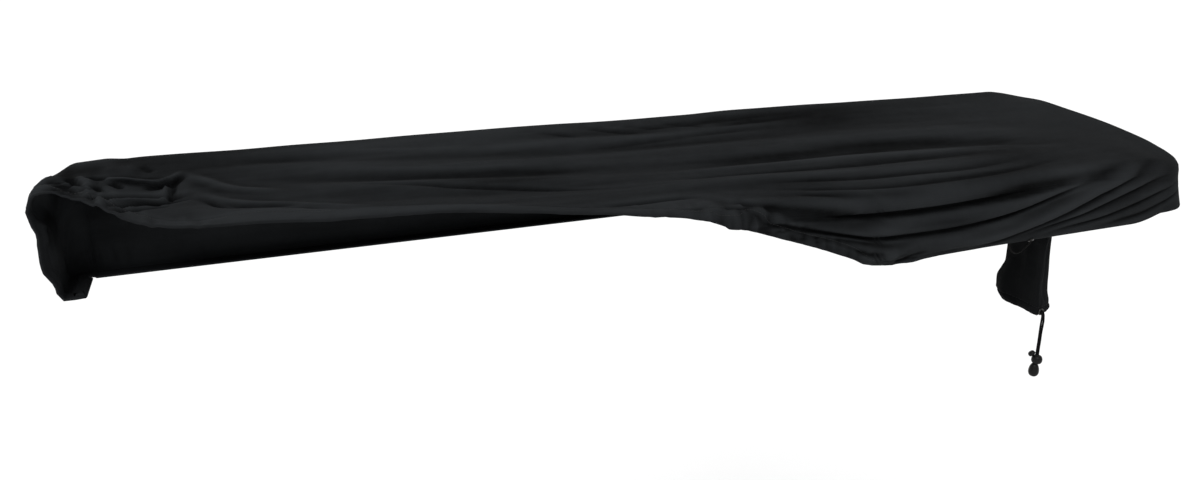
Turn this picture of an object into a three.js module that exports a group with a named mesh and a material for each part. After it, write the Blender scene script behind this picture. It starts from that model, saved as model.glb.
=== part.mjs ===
// Stretch dust cover for a digital piano, pulled back from most of the keyboard.
// Millimetres. X runs along the keyboard, Y to the back, Z up.
// The origin lies under the top cloth, in the middle of the cover.
import * as THREE from 'three';

// ---- driving dimensions -------------------------------------------------
const FORM = {
  halfLength: 656,      // the piano shape that the cloth is stretched over
  halfDepth: 142,
  leftCornerRadius: 26, // plan radius of the cloth at the corners of each end
  rightCornerRadius: 46,
  edgeRadius: 12,        // rounding where the top turns into a wall
  bottomZ: -94,         // underside of the piano shape
  bottomRadius: 7,      // rounding where a wall turns under
};
const CLOTH = {
  thickness: 2.2,
  wrapUnder: 15,        // flat width of the hem turned under the bottom
  hemSwell: 0.9,        // how far the rolled hem stands out on each side
  hemWidth: 10,         // pattern width of the rolled hem
};

// The flat pattern has u along X and v along Y. Beyond the edge of the top,
// WALL pattern units stand for a whole wall with its turned-under hem.
const WALL = 100;
const WALL_SHARE = 0.85;

// Height of the top cloth across the depth: in the middle, and at each end.
const TOP_PROFILE = [
  { y: -142, middle: -22, left: -31, right: -28 },
  { y: -130, middle: -17, left: -27, right: -25 },
  { y: -100, middle: -11.5, left: -20, right: -18 },
  { y: -72, middle: -7, left: -12, right: -10 },
  { y: -40, middle: -5, left: -4, right: -3.5 },
  { y: -10, middle: -2.5, left: 2, right: 1.5 },
  { y: 20, middle: 2.2, left: 6, right: 5.5 },
  { y: 60, middle: 9.5, left: 12, right: 10 },
  { y: 96, middle: 18.5, left: 18, right: 14 },
  { y: 130, middle: 27.5, left: 23, right: 16.5 },
  { y: 142, middle: 29.5, left: 24, right: 17 },
];
const END_BLEND = { from: 90, length: 80 };  // distance from an end, and its run

// Front edge of the cloth in the flat pattern. Left of the middle it has been
// pushed back over the keys; from u = 170 on it is the turned-under hem.
const FRONT_HEM = [
  { u: -756, v: 62 },
  { u: -715, v: 56 },
  { u: -680, v: 58 },
  { u: -656, v: 66 },
  { u: -641, v: 58 },
  { u: -625, v: 51 },
  { u: -612, v: 38 },
  { u: -600, v: 25 },
  { u: -582, v: 2 },
  { u: -562, v: -17 },
  { u: -540, v: -30 },
  { u: -510, v: -36 },
  { u: -478, v: -39 },
  { u: -410, v: -57 },
  { u: -320, v: -72 },
  { u: -176, v: -104 },
  { u: -104, v: -126 },
  { u: -78, v: -134 },
  { u: -50, v: -139 },
  { u: -36, v: -141.4 },
  { u: -24, v: -143 },
  { u: -8, v: -147.5 },
  { u: 14, v: -157 },
  { u: 44, v: -171 },
  { u: 77, v: -186 },
  { u: 110, v: -202 },
  { u: 142, v: -218 },
  { u: 172, v: -239 },
  { u: 205, v: -242 },
  { u: 756, v: -242 },
];

// Slack along the bottom of the front wall, and the deep flap that carries the bag.
const SLACK = { from: 110, to: 630, run: 70, drop: 7, bulgeAt: 180, bulge: 2.5, bulgeRun: 60 };
const CORNER_RISE = { from: 570, run: 70, height: 6 };  // hem drawn up at the front right corner
const BAG_FLAP = { at: 448, run: 95, extra: 50 };
const LEFT_DROOP = { from: 636, run: 20, height: 7 };    // top sags at the outer left edge
const CORNER_SQUARING = 0.6;  // share by which a corner's radius is smaller at its foot

// Folds: each is a soft ridge (height > 0) or trough (height < 0) that follows a
// path in the flat pattern and dies out at both ends.
const FOLDS = [
  { name: 'lip above the groove', width: 9, height: 4,
    path: [[-70, -88], [-30, -104], [31, -125], [122, -137], [207, -139], [268, -138],
      [330, -135], [400, -131], [490, -127]] },
  { name: 'long groove', width: 8, height: -9,
    path: [[-60, -92], [-30, -114], [0, -127], [32, -137], [69, -142], [122, -147], [156, -150],
      [237, -152], [297, -149], [360, -145], [426, -142], [498, -139], [560, -134]] },
  { name: 'roll under the groove', width: 10, height: 6.5,
    path: [[-10, -140], [40, -151], [90, -162], [136, -169], [182, -170], [241, -170],
      [302, -166], [364, -157], [428, -148], [498, -141]] },
  { name: 'main crease', width: 7, height: -7,
    path: [[-34, -133], [-6, -141], [30, -149], [70, -162], [136, -179], [182, -182],
      [241, -184], [302, -181], [364, -170], [428, -155], [498, -141]] },
  { name: 'slack roll above the hem', width: 17, height: 8,
    path: [[70, -180], [115, -194], [170, -201], [235, -203], [305, -199], [370, -187],
      [430, -171]] },
  { name: 'end crease, upper', width: 7, height: -5,
    path: [[260, -208], [306, -208], [370, -200], [434, -183], [499, -163], [546, -146],
      [600, -128]] },
  { name: 'end crease, middle', width: 7, height: -4.5,
    path: [[383, -209], [424, -203], [470, -191], [536, -169], [584, -153], [626, -138]] },
  { name: 'end crease, lower', width: 7, height: -4,
    path: [[430, -212], [480, -205], [530, -195], [585, -179], [640, -160]] },
  { name: 'edge of the plateau', width: 18, height: 4.2,
    path: [[-100, 30], [18, 28], [98, 27], [239, 30], [336, 28], [428, 16], [507, -10],
      [570, -34]] },
  { name: 'step below the plateau', width: 13, height: -5,
    path: [[-60, -4], [79, -9], [167, -7], [243, -5], [330, -9], [414, -23], [479, -45],
      [545, -65]] },
  { name: 'band below the step', width: 11, height: 3,
    path: [[-78, -29], [66, -28], [148, -31], [212, -35], [261, -40], [336, -49], [401, -63],
      [470, -81]] },
  { name: 'hollow before the front roll', width: 10, height: -2.6,
    path: [[-85, -44], [10, -50], [98, -55], [177, -59], [266, -59], [361, -61], [450, -71]] },
  { name: 'roll over the front edge', width: 12, height: 3.6,
    path: [[-120, -64], [-20, -68], [60, -76], [140, -84], [220, -88], [320, -87], [400, -82]] },
  { name: 'front band', width: 14, height: -3,
    path: [[-440, 8], [-340, -8], [-250, -22], [-150, -38], [-60, -52]] },
  { name: 'middle band', width: 13, height: 3.2,
    path: [[-500, 44], [-400, 26], [-300, 10], [-200, -2], [-80, -14]] },
  { name: 'hollow behind the middle band', width: 12, height: -3,
    path: [[-490, 66], [-390, 50], [-290, 34], [-180, 16], [-60, 2], [40, -6]] },
  { name: 'back band', width: 13, height: 3,
    path: [[-540, 92], [-430, 78], [-320, 58], [-200, 42], [-80, 34]] },
  { name: 'pinch', width: 6, height: 8,
    path: [[-612, 92], [-588, 84], [-566, 75], [-554, 73], [-544, 79], [-537, 88], [-531, 96]] },
  { name: 'pinch, falling end', width: 6, height: 5,
    path: [[-546, 82], [-548, 70], [-550, 52], [-551, 34]] },
  { name: 'pinch, trailing end', width: 7, height: 4.5,
    path: [[-545, 92], [-530, 82], [-512, 68], [-496, 53], [-480, 42], [-455, 32], [-430, 24]] },
  { name: 'bunched crease, upper', width: 5, height: -7,
    path: [[-628, 56], [-606, 50], [-576, 49], [-558, 44], [-536, 42], [-520, 44]] },
  { name: 'bunched crease, lower', width: 5, height: -6,
    path: [[-606, 30], [-588, 31], [-570, 33], [-552, 30], [-534, 34], [-520, 38]] },
  { name: 'thick hem roll', width: 12, height: 7,
    path: [[-600, 14], [-580, 8], [-556, 4], [-530, 4], [-508, -10], [-480, -20], [-440, -32],
      [-400, -45], [-330, -60], [-240, -82], [-160, -98]] },
  { name: 'line above the hem roll', width: 5, height: -6,
    path: [[-546, 40], [-526, 32], [-514, 25], [-501, 8], [-484, -4], [-458, -12], [-424, -24],
      [-390, -42], [-354, -52], [-300, -62], [-240, -78]] },
  { name: 'flap outside the cheek', width: 12, height: 14,
    path: [[-657, 0], [-656, 36], [-656, 68], [-657, 100], [-659, 136]] },
  { name: 'flap, hanging part', width: 14, height: 9,
    path: [[-660, 66], [-680, 62], [-700, 58], [-724, 56]] },
  { name: 'soft crown', width: 15, height: 3.4,
    path: [[-652, 142], [-632, 138], [-610, 132], [-585, 126]] },
];
// Small gathers where the cloth is bunched over the left cheek. Each leans back
// towards the end by `lean` for every unit from the first one.
const GATHERS = {
  first: -648, last: -606, step: 12, from: 78, to: 106, slant: 4, lean: 0.25, width: 5, height: 3,
};
// Folds die out where the cloth is drawn under the bottom (shares of a wall).
const FOLD_FADE = { from: 0.7, run: 0.14 };

// ---- small helpers -------------------------------------------------------
const clamp01 = (t) => Math.min(1, Math.max(0, t));
const smooth = (t) => { const c = clamp01(t); return c * c * (3 - 2 * c); };
const bump = (t) => smooth(1 - Math.abs(t));

// Smooth curve through the rows of a table: rows[key] as a function of rows[axis].
function tableCurve(rows, axis, key) {
  const x = rows.map((row) => row[axis]);
  const y = rows.map((row) => row[key]);
  const last = x.length - 1;
  const chord = (i) => (y[i + 1] - y[i]) / (x[i + 1] - x[i]);
  const slope = x.map((_, i) => {
    if (i === 0) return chord(0);
    if (i === last) return chord(last - 1);
    const before = chord(i - 1);
    const after = chord(i);
    if (before * after <= 0) return 0;
    return 2 * before * after / (before + after);
  });
  return (value) => {
    const at = Math.min(x[last], Math.max(x[0], value));
    let i = 0;
    while (i < last - 1 && at > x[i + 1]) i += 1;
    const h = x[i + 1] - x[i];
    const t = (at - x[i]) / h;
    const rise = (y[i + 1] - y[i]) * t * t * (3 - 2 * t);
    return y[i] + rise + h * t * (1 - t) * ((1 - t) * slope[i] - t * slope[i + 1]);
  };
}

const middleHeight = tableCurve(TOP_PROFILE, 'y', 'middle');
const leftHeight = tableCurve(TOP_PROFILE, 'y', 'left');
const rightHeight = tableCurve(TOP_PROFILE, 'y', 'right');
const frontEdge = tableCurve(FRONT_HEM, 'u', 'v');

function topHeight(x, y) {
  const w = smooth((Math.abs(x) - (FORM.halfLength - END_BLEND.from)) / END_BLEND.length);
  const end = x > 0 ? rightHeight(y) : leftHeight(y);
  const droop = LEFT_DROOP.height * smooth((-x - LEFT_DROOP.from) / LEFT_DROOP.run);
  return middleHeight(y) * (1 - w) + end * w - droop;
}

// How far the slack front wall hangs below the piano shape.
function slackDrop(x) {
  const stretch = smooth((x - SLACK.from) / SLACK.run) * smooth((SLACK.to - x) / SLACK.run);
  const bulge = SLACK.bulge * bump((x - SLACK.bulgeAt) / SLACK.bulgeRun);
  const rise = CORNER_RISE.height * smooth((x - CORNER_RISE.from) / CORNER_RISE.run);
  return SLACK.drop * stretch + bulge - rise;
}

// ---- the cloth as a surface ------------------------------------------------
// Places a point of the flat pattern on the stretched shape (outer face, no folds).
function place(u, v) {
  const { halfLength, halfDepth, edgeRadius, bottomZ, bottomRadius } = FORM;
  const cornerRadius = u > 0 ? FORM.rightCornerRadius : FORM.leftCornerRadius;
  const inLength = halfLength - cornerRadius;
  const inDepth = halfDepth - cornerRadius;
  const cx = Math.min(inLength, Math.max(-inLength, u));
  const cy = Math.min(inDepth, Math.max(-inDepth, v));
  const reach = Math.max(Math.abs(u - cx), Math.abs(v - cy));
  let dx = 0;
  let dy = 0;
  if (reach > 0) {
    const a = (u - cx) / reach;
    const b = (v - cy) / reach;
    dx = a * Math.sqrt(1 - b * b / 2);
    dy = b * Math.sqrt(1 - a * a / 2);
    const length = Math.hypot(dx, dy);
    dx /= length;
    dy /= length;
  }
  const onTop = Math.min(reach, cornerRadius);
  const x = cx + onTop * dx;
  const y = cy + onTop * dy;
  const top = topHeight(x, y);
  const t = clamp01((onTop - (cornerRadius - edgeRadius)) / edgeRadius);
  if (reach <= cornerRadius) {
    return new THREE.Vector3(x, y, top - edgeRadius * (1 - Math.sqrt(1 - t * t)));
  }
  const front = Math.max(0, -dy);
  const bottom = bottomZ - slackDrop(x) * front;
  const wallLength = top - bottom - edgeRadius - bottomRadius;
  const arcLength = bottomRadius * Math.PI / 2;
  const share = (reach - cornerRadius) / WALL;
  const along = Math.min(share / WALL_SHARE, 1) * (wallLength + arcLength);
  const flap = CLOTH.wrapUnder + BAG_FLAP.extra * bump((x - BAG_FLAP.at) / BAG_FLAP.run) * front * front;
  const under = Math.max(0, share - WALL_SHARE) / (1 - WALL_SHARE) * flap;
  const wall = Math.min(along, wallLength);
  const turn = Math.max(0, along - wallLength) / bottomRadius;
  const squared = Math.abs(dx) + Math.abs(dy) - 1;
  const fill = CORNER_SQUARING * cornerRadius * smooth(share) * squared;
  const inset = bottomRadius * (1 - Math.cos(turn)) + under - fill;
  const z = top - edgeRadius - wall - bottomRadius * Math.sin(turn);
  return new THREE.Vector3(x - inset * dx, y - inset * dy, z);
}

function normalAt(u, v) {
  const step = 1.5;
  const along = place(u + step, v).sub(place(u - step, v));
  const across = place(u, v + step).sub(place(u, v - step));
  return along.cross(across).normalize();
}

// Distance from (u, v) to a fold's path, and how far along the path that is (0 to 1).
function nearestOnPath(path, u, v) {
  let best = { distance: Infinity, share: 0 };
  const total = path.length - 1;
  for (let i = 0; i < total; i += 1) {
    const [u0, v0] = path[i];
    const [u1, v1] = path[i + 1];
    const du = u1 - u0;
    const dv = v1 - v0;
    const t = clamp01(((u - u0) * du + (v - v0) * dv) / (du * du + dv * dv));
    const distance = Math.hypot(u - u0 - t * du, v - v0 - t * dv);
    if (distance < best.distance) best = { distance, share: (i + t) / total };
  }
  return best;
}

function gatherFolds() {
  const list = [];
  const { first, last, step, from, to, slant, lean, width, height } = GATHERS;
  for (let u = first; u <= last; u += step) {
    const back = (u - first) * lean;
    list.push({ width, height, path: [[u, from - back], [u + slant, to - back]] });
  }
  return list;
}
const ALL_FOLDS = [...FOLDS, ...gatherFolds()];
const END_TAPER = 3;    // a fold reaches its full height a third of the way along

// Height of the folds above the stretched shape at a point of the flat pattern.
function relief(u, v) {
  let height = 0;
  for (const fold of ALL_FOLDS) {
    const { distance, share } = nearestOnPath(fold.path, u, v);
    const ends = smooth(Math.min(share, 1 - share) * END_TAPER);
    height += fold.height * ends * bump(distance / (2 * fold.width));
  }
  const reach = Math.max(Math.abs(u) - FORM.halfLength, Math.abs(v) - FORM.halfDepth) / WALL;
  const fade = 1 - smooth((reach - FOLD_FADE.from) / FOLD_FADE.run);
  return height * fade;
}

// Rows and columns of the flat pattern. Each row below is a run of equal steps.
const COLUMN_RUNS = [
  { to: -728, steps: 3 }, { to: -656, steps: 5 }, { to: -630, steps: 3 }, { to: -500, steps: 13 },
  { to: -380, steps: 6 }, { to: -60, steps: 9 }, { to: 220, steps: 11 }, { to: 500, steps: 11 },
  { to: 630, steps: 5 }, { to: 656, steps: 3 }, { to: 728, steps: 3 }, { to: 756, steps: 3 },
];
const ROW_RUNS = [
  { to: -227, steps: 2 }, { to: -209, steps: 3 }, { to: -142, steps: 8 }, { to: -126, steps: 2 },
  { to: 110, steps: 12 }, { to: 131, steps: 1 }, { to: 142, steps: 2 }, { to: 212, steps: 3 },
  { to: 227, steps: 2 }, { to: 242, steps: 2 },
];
const KEPT_ROW = 110;   // rows behind this one stay where they are for every column

function stops(first, runs) {
  const list = [first];
  let from = first;
  for (const { to, steps } of runs) {
    for (let i = 1; i <= steps; i += 1) list.push(from + (to - from) * i / steps);
    from = to;
  }
  return list;
}

function coverGrid() {
  const edgeU = FORM.halfLength + WALL;
  const edgeV = FORM.halfDepth + WALL;
  const columns = stops(-edgeU, COLUMN_RUNS);
  const rows = stops(-edgeV, ROW_RUNS);
  const outer = [];
  const inner = [];
  for (const u of columns) {
    const front = frontEdge(u);
    const outerRow = [];
    const innerRow = [];
    for (const row of rows) {
      const squeeze = (KEPT_ROW - front) / (KEPT_ROW + edgeV);
      const v = row >= KEPT_ROW || front >= KEPT_ROW ? Math.max(row, front)
        : KEPT_ROW - (KEPT_ROW - row) * squeeze;
      const toEdge = Math.min(v - front, edgeV - v, edgeU - Math.abs(u));
      const swell = CLOTH.hemSwell * (1 - smooth(toEdge / CLOTH.hemWidth));
      const normal = normalAt(u, v);
      const middle = place(u, v).addScaledVector(normal, relief(u, v));
      outerRow.push(middle.clone().addScaledVector(normal, swell));
      innerRow.push(middle.clone().addScaledVector(normal, -CLOTH.thickness - swell));
    }
    outer.push(outerRow);
    inner.push(innerRow);
  }
  return { outer, inner };
}

// Closed solid between two matching grids of points, with a rim around the edge.
function gridSolid(outer, inner) {
  const columns = outer.length;
  const rows = outer[0].length;
  const count = columns * rows;
  const positions = [];
  for (const grid of [outer, inner]) {
    for (const line of grid) {
      for (const p of line) positions.push(p.x, p.y, p.z);
    }
  }
  const index = [];
  const quad = (a, b, c, d) => index.push(a, b, c, a, c, d);
  const at = (i, j) => i * rows + j;
  for (let i = 0; i < columns - 1; i += 1) {
    for (let j = 0; j < rows - 1; j += 1) {
      quad(at(i, j), at(i + 1, j), at(i + 1, j + 1), at(i, j + 1));
      quad(count + at(i, j), count + at(i, j + 1), count + at(i + 1, j + 1), count + at(i + 1, j));
    }
  }
  const rim = (a, b) => quad(b, a, count + a, count + b);
  for (let i = 0; i < columns - 1; i += 1) {
    rim(at(i, 0), at(i + 1, 0));
    rim(at(i + 1, rows - 1), at(i, rows - 1));
  }
  for (let j = 0; j < rows - 1; j += 1) {
    rim(at(0, j + 1), at(0, j));
    rim(at(columns - 1, j), at(columns - 1, j + 1));
  }
  const geometry = new THREE.BufferGeometry();
  geometry.setAttribute('position', new THREE.Float32BufferAttribute(positions, 3));
  geometry.setIndex(index);
  geometry.computeVertexNormals();
  return geometry;
}

// ---- the storage bag ---------------------------------------------------------
// It hangs under the front hem with its mouth down, flat side along Y.
const BAG = { topZ: -102.5, cloth: 1.6, cap: 2, sides: 28 };
const BAG_LEVELS = [
  { z: -102.5, left: 437, thick: 13, front: -124, back: -66 },
  { z: -114, left: 436, thick: 17, front: -123, back: -62 },
  { z: -135, left: 437, thick: 19, front: -122, back: -60 },
  { z: -158, left: 438, thick: 22, front: -121, back: -59 },
  { z: -170, left: 438, thick: 24, front: -121, back: -54 },
  { z: -184, left: 438, thick: 26.5, front: -122, back: -48 },
  { z: -198, left: 438, thick: 31, front: -124, back: -46 },
  { z: -206, left: 438, thick: 32, front: -124, back: -50 },
  { z: -211.5, left: 439, thick: 28, front: -123, back: -56 },
];
// Plan outline of the bag, as shares of its thickness and of its depth.
const BAG_OUTLINE = [
  [0.02, 0.0], [0.45, 0.03], [0.9, 0.1], [1.0, 0.22], [0.9, 0.45], [0.82, 0.7],
  [0.62, 0.93], [0.4, 1.0], [0.18, 0.93], [0.04, 0.7], [0.07, 0.4], [0.0, 0.12],
];

function bagLoop(level, inset) {
  const points = BAG_OUTLINE.map(([a, b]) => new THREE.Vector3(a, b, 0));
  const curve = new THREE.CatmullRomCurve3(points, true, 'centripetal');
  const depth = level.back - level.front;
  const loop = [];
  const outline = [];
  for (let i = 0; i < BAG.sides; i += 1) {
    const p = curve.getPoint(i / BAG.sides);
    outline.push(new THREE.Vector2(level.left + p.x * level.thick, level.front + p.y * depth));
  }
  for (let i = 0; i < BAG.sides; i += 1) {
    const before = outline[(i + BAG.sides - 1) % BAG.sides];
    const after = outline[(i + 1) % BAG.sides];
    const along = after.clone().sub(before).normalize();
    const p = outline[i];
    loop.push(new THREE.Vector3(p.x - along.y * inset, p.y + along.x * inset, level.z));
  }
  return loop;
}

function bagSolid() {
  const outer = BAG_LEVELS.map((level) => bagLoop(level, 0));
  const inner = BAG_LEVELS.slice(1).map((level) => bagLoop(level, BAG.cloth));
  const roof = bagLoop({ ...BAG_LEVELS[0], z: BAG.topZ - BAG.cap }, BAG.cloth);
  const loops = [...outer, ...inner.reverse(), roof];
  const n = BAG.sides;
  const positions = [];
  for (const loop of loops) {
    for (const p of loop) positions.push(p.x, p.y, p.z);
  }
  const index = [];
  for (let k = 0; k < loops.length - 1; k += 1) {
    for (let i = 0; i < n; i += 1) {
      const next = (i + 1) % n;
      index.push(k * n + i, (k + 1) * n + i, (k + 1) * n + next);
      index.push(k * n + i, (k + 1) * n + next, k * n + next);
    }
  }
  const addCap = (loopIndex, flip) => {
    const centre = new THREE.Vector3();
    loops[loopIndex].forEach((p) => centre.addScaledVector(p, 1 / n));
    const c = positions.length / 3;
    positions.push(centre.x, centre.y, centre.z);
    for (let i = 0; i < n; i += 1) {
      const a = loopIndex * n + i;
      const b = loopIndex * n + (i + 1) % n;
      if (flip) index.push(c, b, a); else index.push(c, a, b);
    }
  };
  addCap(0, false);
  addCap(loops.length - 1, true);
  const geometry = new THREE.BufferGeometry();
  geometry.setAttribute('position', new THREE.Float32BufferAttribute(positions, 3));
  geometry.setIndex(index);
  geometry.computeVertexNormals();
  return geometry;
}

// ---- cords, eyelets and the cord lock -------------------------------------------
const CORD = { sides: 8, bagDiameter: 2.4, hemDiameter: 1.6, bagSteps: 26, hemSteps: 24 };
const BAG_CORD_LEFT = [
  [441.9, -125.5, -207], [441.8, -127.6, -207.4], [441.9, -129, -209.8], [442.5, -129.2, -214],
  [443.2, -128.6, -219], [444.4, -127.9, -225], [446.2, -126.8, -236], [448, -125.6, -248],
  [449, -124.8, -259], [449.5, -124.4, -269.4],
];
const BAG_CORD_RIGHT = [
  [444.5, -125.5, -207], [444.6, -127.2, -207.4], [444.6, -127.9, -209.8], [444.7, -127.6, -214],
  [445.3, -126.7, -219], [446.2, -125.8, -225], [448.6, -124.9, -236], [451.2, -124.6, -248],
  [452.6, -124.5, -259], [453.3, -124.4, -269.4],
];
const HEM_LOOP = [
  [357, -137.2, -102.1], [357.6, -138.4, -104.4], [359.6, -139.2, -108], [363.4, -139.6, -111.6],
  [368.4, -139.8, -113.4], [373.6, -140.2, -112.6], [378.4, -140.8, -109.4], [382.4, -141.6, -105.4],
  [385.6, -142, -102.2], [387.8, -141.6, -100.3], [388.6, -140.3, -99.5],
];
const EYELET = {
  height: 1.2, rimRadius: 0.35, hemHole: 1.5, hemRim: 3.5, bagHole: 3, bagRim: 4.6, sides: 20,
};
const BAG_EYELET_PLACE = { x: 443.2, y: -125, z: -207, swing: 0.1 };
const HEM_EYELET_PLACE = { x: 388.6, y: -140.3, z: -99.3, faces: Math.PI / 4 };  // faces front and down
const LOCK = { x: 451.5, y: -124.2, topZ: -270, bodySides: 24, smallSides: 20 };
const BUTTON_PLACE = { x: LOCK.x - 3.2, y: LOCK.y + 3.9, z: LOCK.topZ - 0.5, tilt: 0.78, swing: 0.685 };
const CORD_END_PLACE = { x: LOCK.x - 1.3, y: LOCK.y + 0.9, z: LOCK.topZ - 11.4 };
// Turned profiles as [radius, height].
const LOCK_BODY = [
  [0, -11], [3.6, -11], [5.8, -9.4], [6.7, -6.4], [6.7, -4.6], [5.8, -1.6], [3.8, 0], [0, 0],
];
const LOCK_BUTTON = [[0, 0], [2.2, 0], [4.1, 0.8], [4.5, 3], [3.9, 4.8], [2.4, 5.9], [0, 6.2]];
const CORD_END = [
  [0, -18], [3.4, -17.6], [5.9, -15], [6.5, -10.8], [5.9, -5.2], [4.2, -1.4], [2.4, 0], [0, 0],
];

function cordSolid(points, diameter, steps) {
  const section = new THREE.Shape();
  for (let i = 0; i < CORD.sides; i += 1) {
    const angle = 2 * Math.PI * i / CORD.sides;
    const p = [Math.cos(angle) * diameter / 2, Math.sin(angle) * diameter / 2];
    if (i === 0) section.moveTo(...p); else section.lineTo(...p);
  }
  const path = new THREE.CatmullRomCurve3(points.map((p) => new THREE.Vector3(...p)), false, 'centripetal');
  return new THREE.ExtrudeGeometry(section, { steps, bevelEnabled: false, extrudePath: path });
}

function lathe(profile, sides) {
  return new THREE.LatheGeometry(profile.map(([r, h]) => new THREE.Vector2(r, h)), sides);
}

function eyeletSolid(hole, rim) {
  const h = EYELET.height;
  const soft = EYELET.rimRadius;
  return lathe([[hole, 0], [rim, 0], [rim, h - soft], [rim - soft, h], [hole + soft, h],
    [hole, h - soft], [hole, 0]], EYELET.sides);
}

// ---- the assembled cover ----------------------------------------------------------
const cloth = { color: 0x1b1d1e, roughness: 0.95, metalness: 0 };
const plastic = { color: 0x111213, roughness: 0.45, metalness: 0 };
const metal = { color: 0x5c5b58, roughness: 0.35, metalness: 0.9 };

const cover = new THREE.Group();
function addPiece(name, geometry, finish) {
  const mesh = new THREE.Mesh(geometry, new THREE.MeshStandardMaterial(finish));
  mesh.name = name;
  cover.add(mesh);
  return mesh;
}

const { outer, inner } = coverGrid();
addPiece('cover_cloth', gridSolid(outer, inner), cloth);
addPiece('storage_bag', bagSolid(), cloth);

// Lathe pieces are turned about X so that their axis points the way they face.
function turned(name, geometry, finish, { x, y, z, tilt, swing = 0 }) {
  const mesh = addPiece(name, geometry, finish);
  mesh.rotation.set(tilt, 0, swing, 'ZYX');
  mesh.position.set(x, y, z);
}
const FACING_FRONT = Math.PI;
const FACING_UP = Math.PI / 2;
turned('bag_eyelet', eyeletSolid(EYELET.bagHole, EYELET.bagRim), metal,
  { ...BAG_EYELET_PLACE, tilt: FACING_FRONT });
turned('hem_eyelet', eyeletSolid(EYELET.hemHole, EYELET.hemRim), metal,
  { ...HEM_EYELET_PLACE, tilt: FACING_FRONT + HEM_EYELET_PLACE.faces });

addPiece('bag_cord_left', cordSolid(BAG_CORD_LEFT, CORD.bagDiameter, CORD.bagSteps), cloth);
addPiece('bag_cord_right', cordSolid(BAG_CORD_RIGHT, CORD.bagDiameter, CORD.bagSteps), cloth);
addPiece('hem_cord_loop', cordSolid(HEM_LOOP, CORD.hemDiameter, CORD.hemSteps), cloth);

turned('cord_lock_body', lathe(LOCK_BODY, LOCK.bodySides), plastic,
  { x: LOCK.x, y: LOCK.y, z: LOCK.topZ, tilt: FACING_UP });
turned('cord_lock_button', lathe(LOCK_BUTTON, LOCK.smallSides), plastic, BUTTON_PLACE);
turned('cord_end', lathe(CORD_END, LOCK.smallSides), plastic,
  { ...CORD_END_PLACE, tilt: FACING_UP });

export default cover;
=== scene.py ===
# %% [markdown]
# # A stretch dust cover for a digital piano
# The real thing is one cut of black polyester jersey with an elastic cord run
# through its hem, so it grips the instrument like a fitted sheet. A small drawstring
# bag, sewn under the front hem, takes the whole cover when it is put away.
# The solids that carry sizes and collision come in model.glb. Here every piece is
# given its real surface: folds, turned hem, knit, braid, moulded plastic.
# The work runs in metres. Tables that a maker would measure are in millimetres.

# %% Load the imported frame
import math
from collections import namedtuple

import bmesh
import bpy
import numpy as np
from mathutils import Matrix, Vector


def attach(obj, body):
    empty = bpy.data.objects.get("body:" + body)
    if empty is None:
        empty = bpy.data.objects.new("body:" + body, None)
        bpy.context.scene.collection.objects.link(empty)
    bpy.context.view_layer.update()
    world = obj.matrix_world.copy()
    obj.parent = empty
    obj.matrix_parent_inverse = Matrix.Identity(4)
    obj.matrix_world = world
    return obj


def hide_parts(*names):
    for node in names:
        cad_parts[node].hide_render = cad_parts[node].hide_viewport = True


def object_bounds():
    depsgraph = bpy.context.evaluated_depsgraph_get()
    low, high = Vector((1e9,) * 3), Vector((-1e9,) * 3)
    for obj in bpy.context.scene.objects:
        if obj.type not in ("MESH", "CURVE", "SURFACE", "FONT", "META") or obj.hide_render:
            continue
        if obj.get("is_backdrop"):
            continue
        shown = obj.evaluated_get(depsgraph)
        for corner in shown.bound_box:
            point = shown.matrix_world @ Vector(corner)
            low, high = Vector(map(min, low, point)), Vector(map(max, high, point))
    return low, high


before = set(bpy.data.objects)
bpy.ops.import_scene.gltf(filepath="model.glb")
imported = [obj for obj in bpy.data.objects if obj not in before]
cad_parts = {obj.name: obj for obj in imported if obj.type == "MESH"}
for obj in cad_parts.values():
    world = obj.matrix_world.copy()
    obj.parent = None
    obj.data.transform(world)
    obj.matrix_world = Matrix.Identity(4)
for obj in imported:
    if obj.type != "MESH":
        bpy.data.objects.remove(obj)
CAD_LOW, CAD_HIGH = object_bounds()
MM = 0.001
print("solids in the frame:", sorted(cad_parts))

# %% [markdown]
# ## The camera
# A camera can be placed by hand, tracked to an empty, or set from measured values.
# Measured values are used, because the likeness depends on them: the eye stands in
# front of the left half, a little above the top, and looks across to the right end.

# %% Place the camera
CAMERA_PLACE = (-0.4848, -0.8971, 0.2431)
CAMERA_TURN = (71.617, -0.132, -22.483)  # degrees about X, Y and Z
LENS_MM, SENSOR_MM = 27.237, 36.0

camera_data = bpy.data.cameras.new("studio_camera")
camera_data.sensor_width = SENSOR_MM
camera_data.lens = LENS_MM
camera = bpy.data.objects.new("studio_camera", camera_data)
camera.location = CAMERA_PLACE
camera.rotation_euler = [math.radians(turn) for turn in CAMERA_TURN]
bpy.context.scene.collection.objects.link(camera)
bpy.context.scene.camera = camera
print("camera stands at", CAMERA_PLACE)

# %% [markdown]
# ## Small tools for every piece
# Blender can make shapes with modifiers, sculpting or code. Cloth that follows a
# measured form is easiest to control as points worked out by a formula, so each
# piece below is a grid of numpy points that one helper turns into a mesh.
# The helper also stores the flat pattern as a UV layer, so that knit and thread keep
# their real scale wherever the cloth goes.

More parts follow.
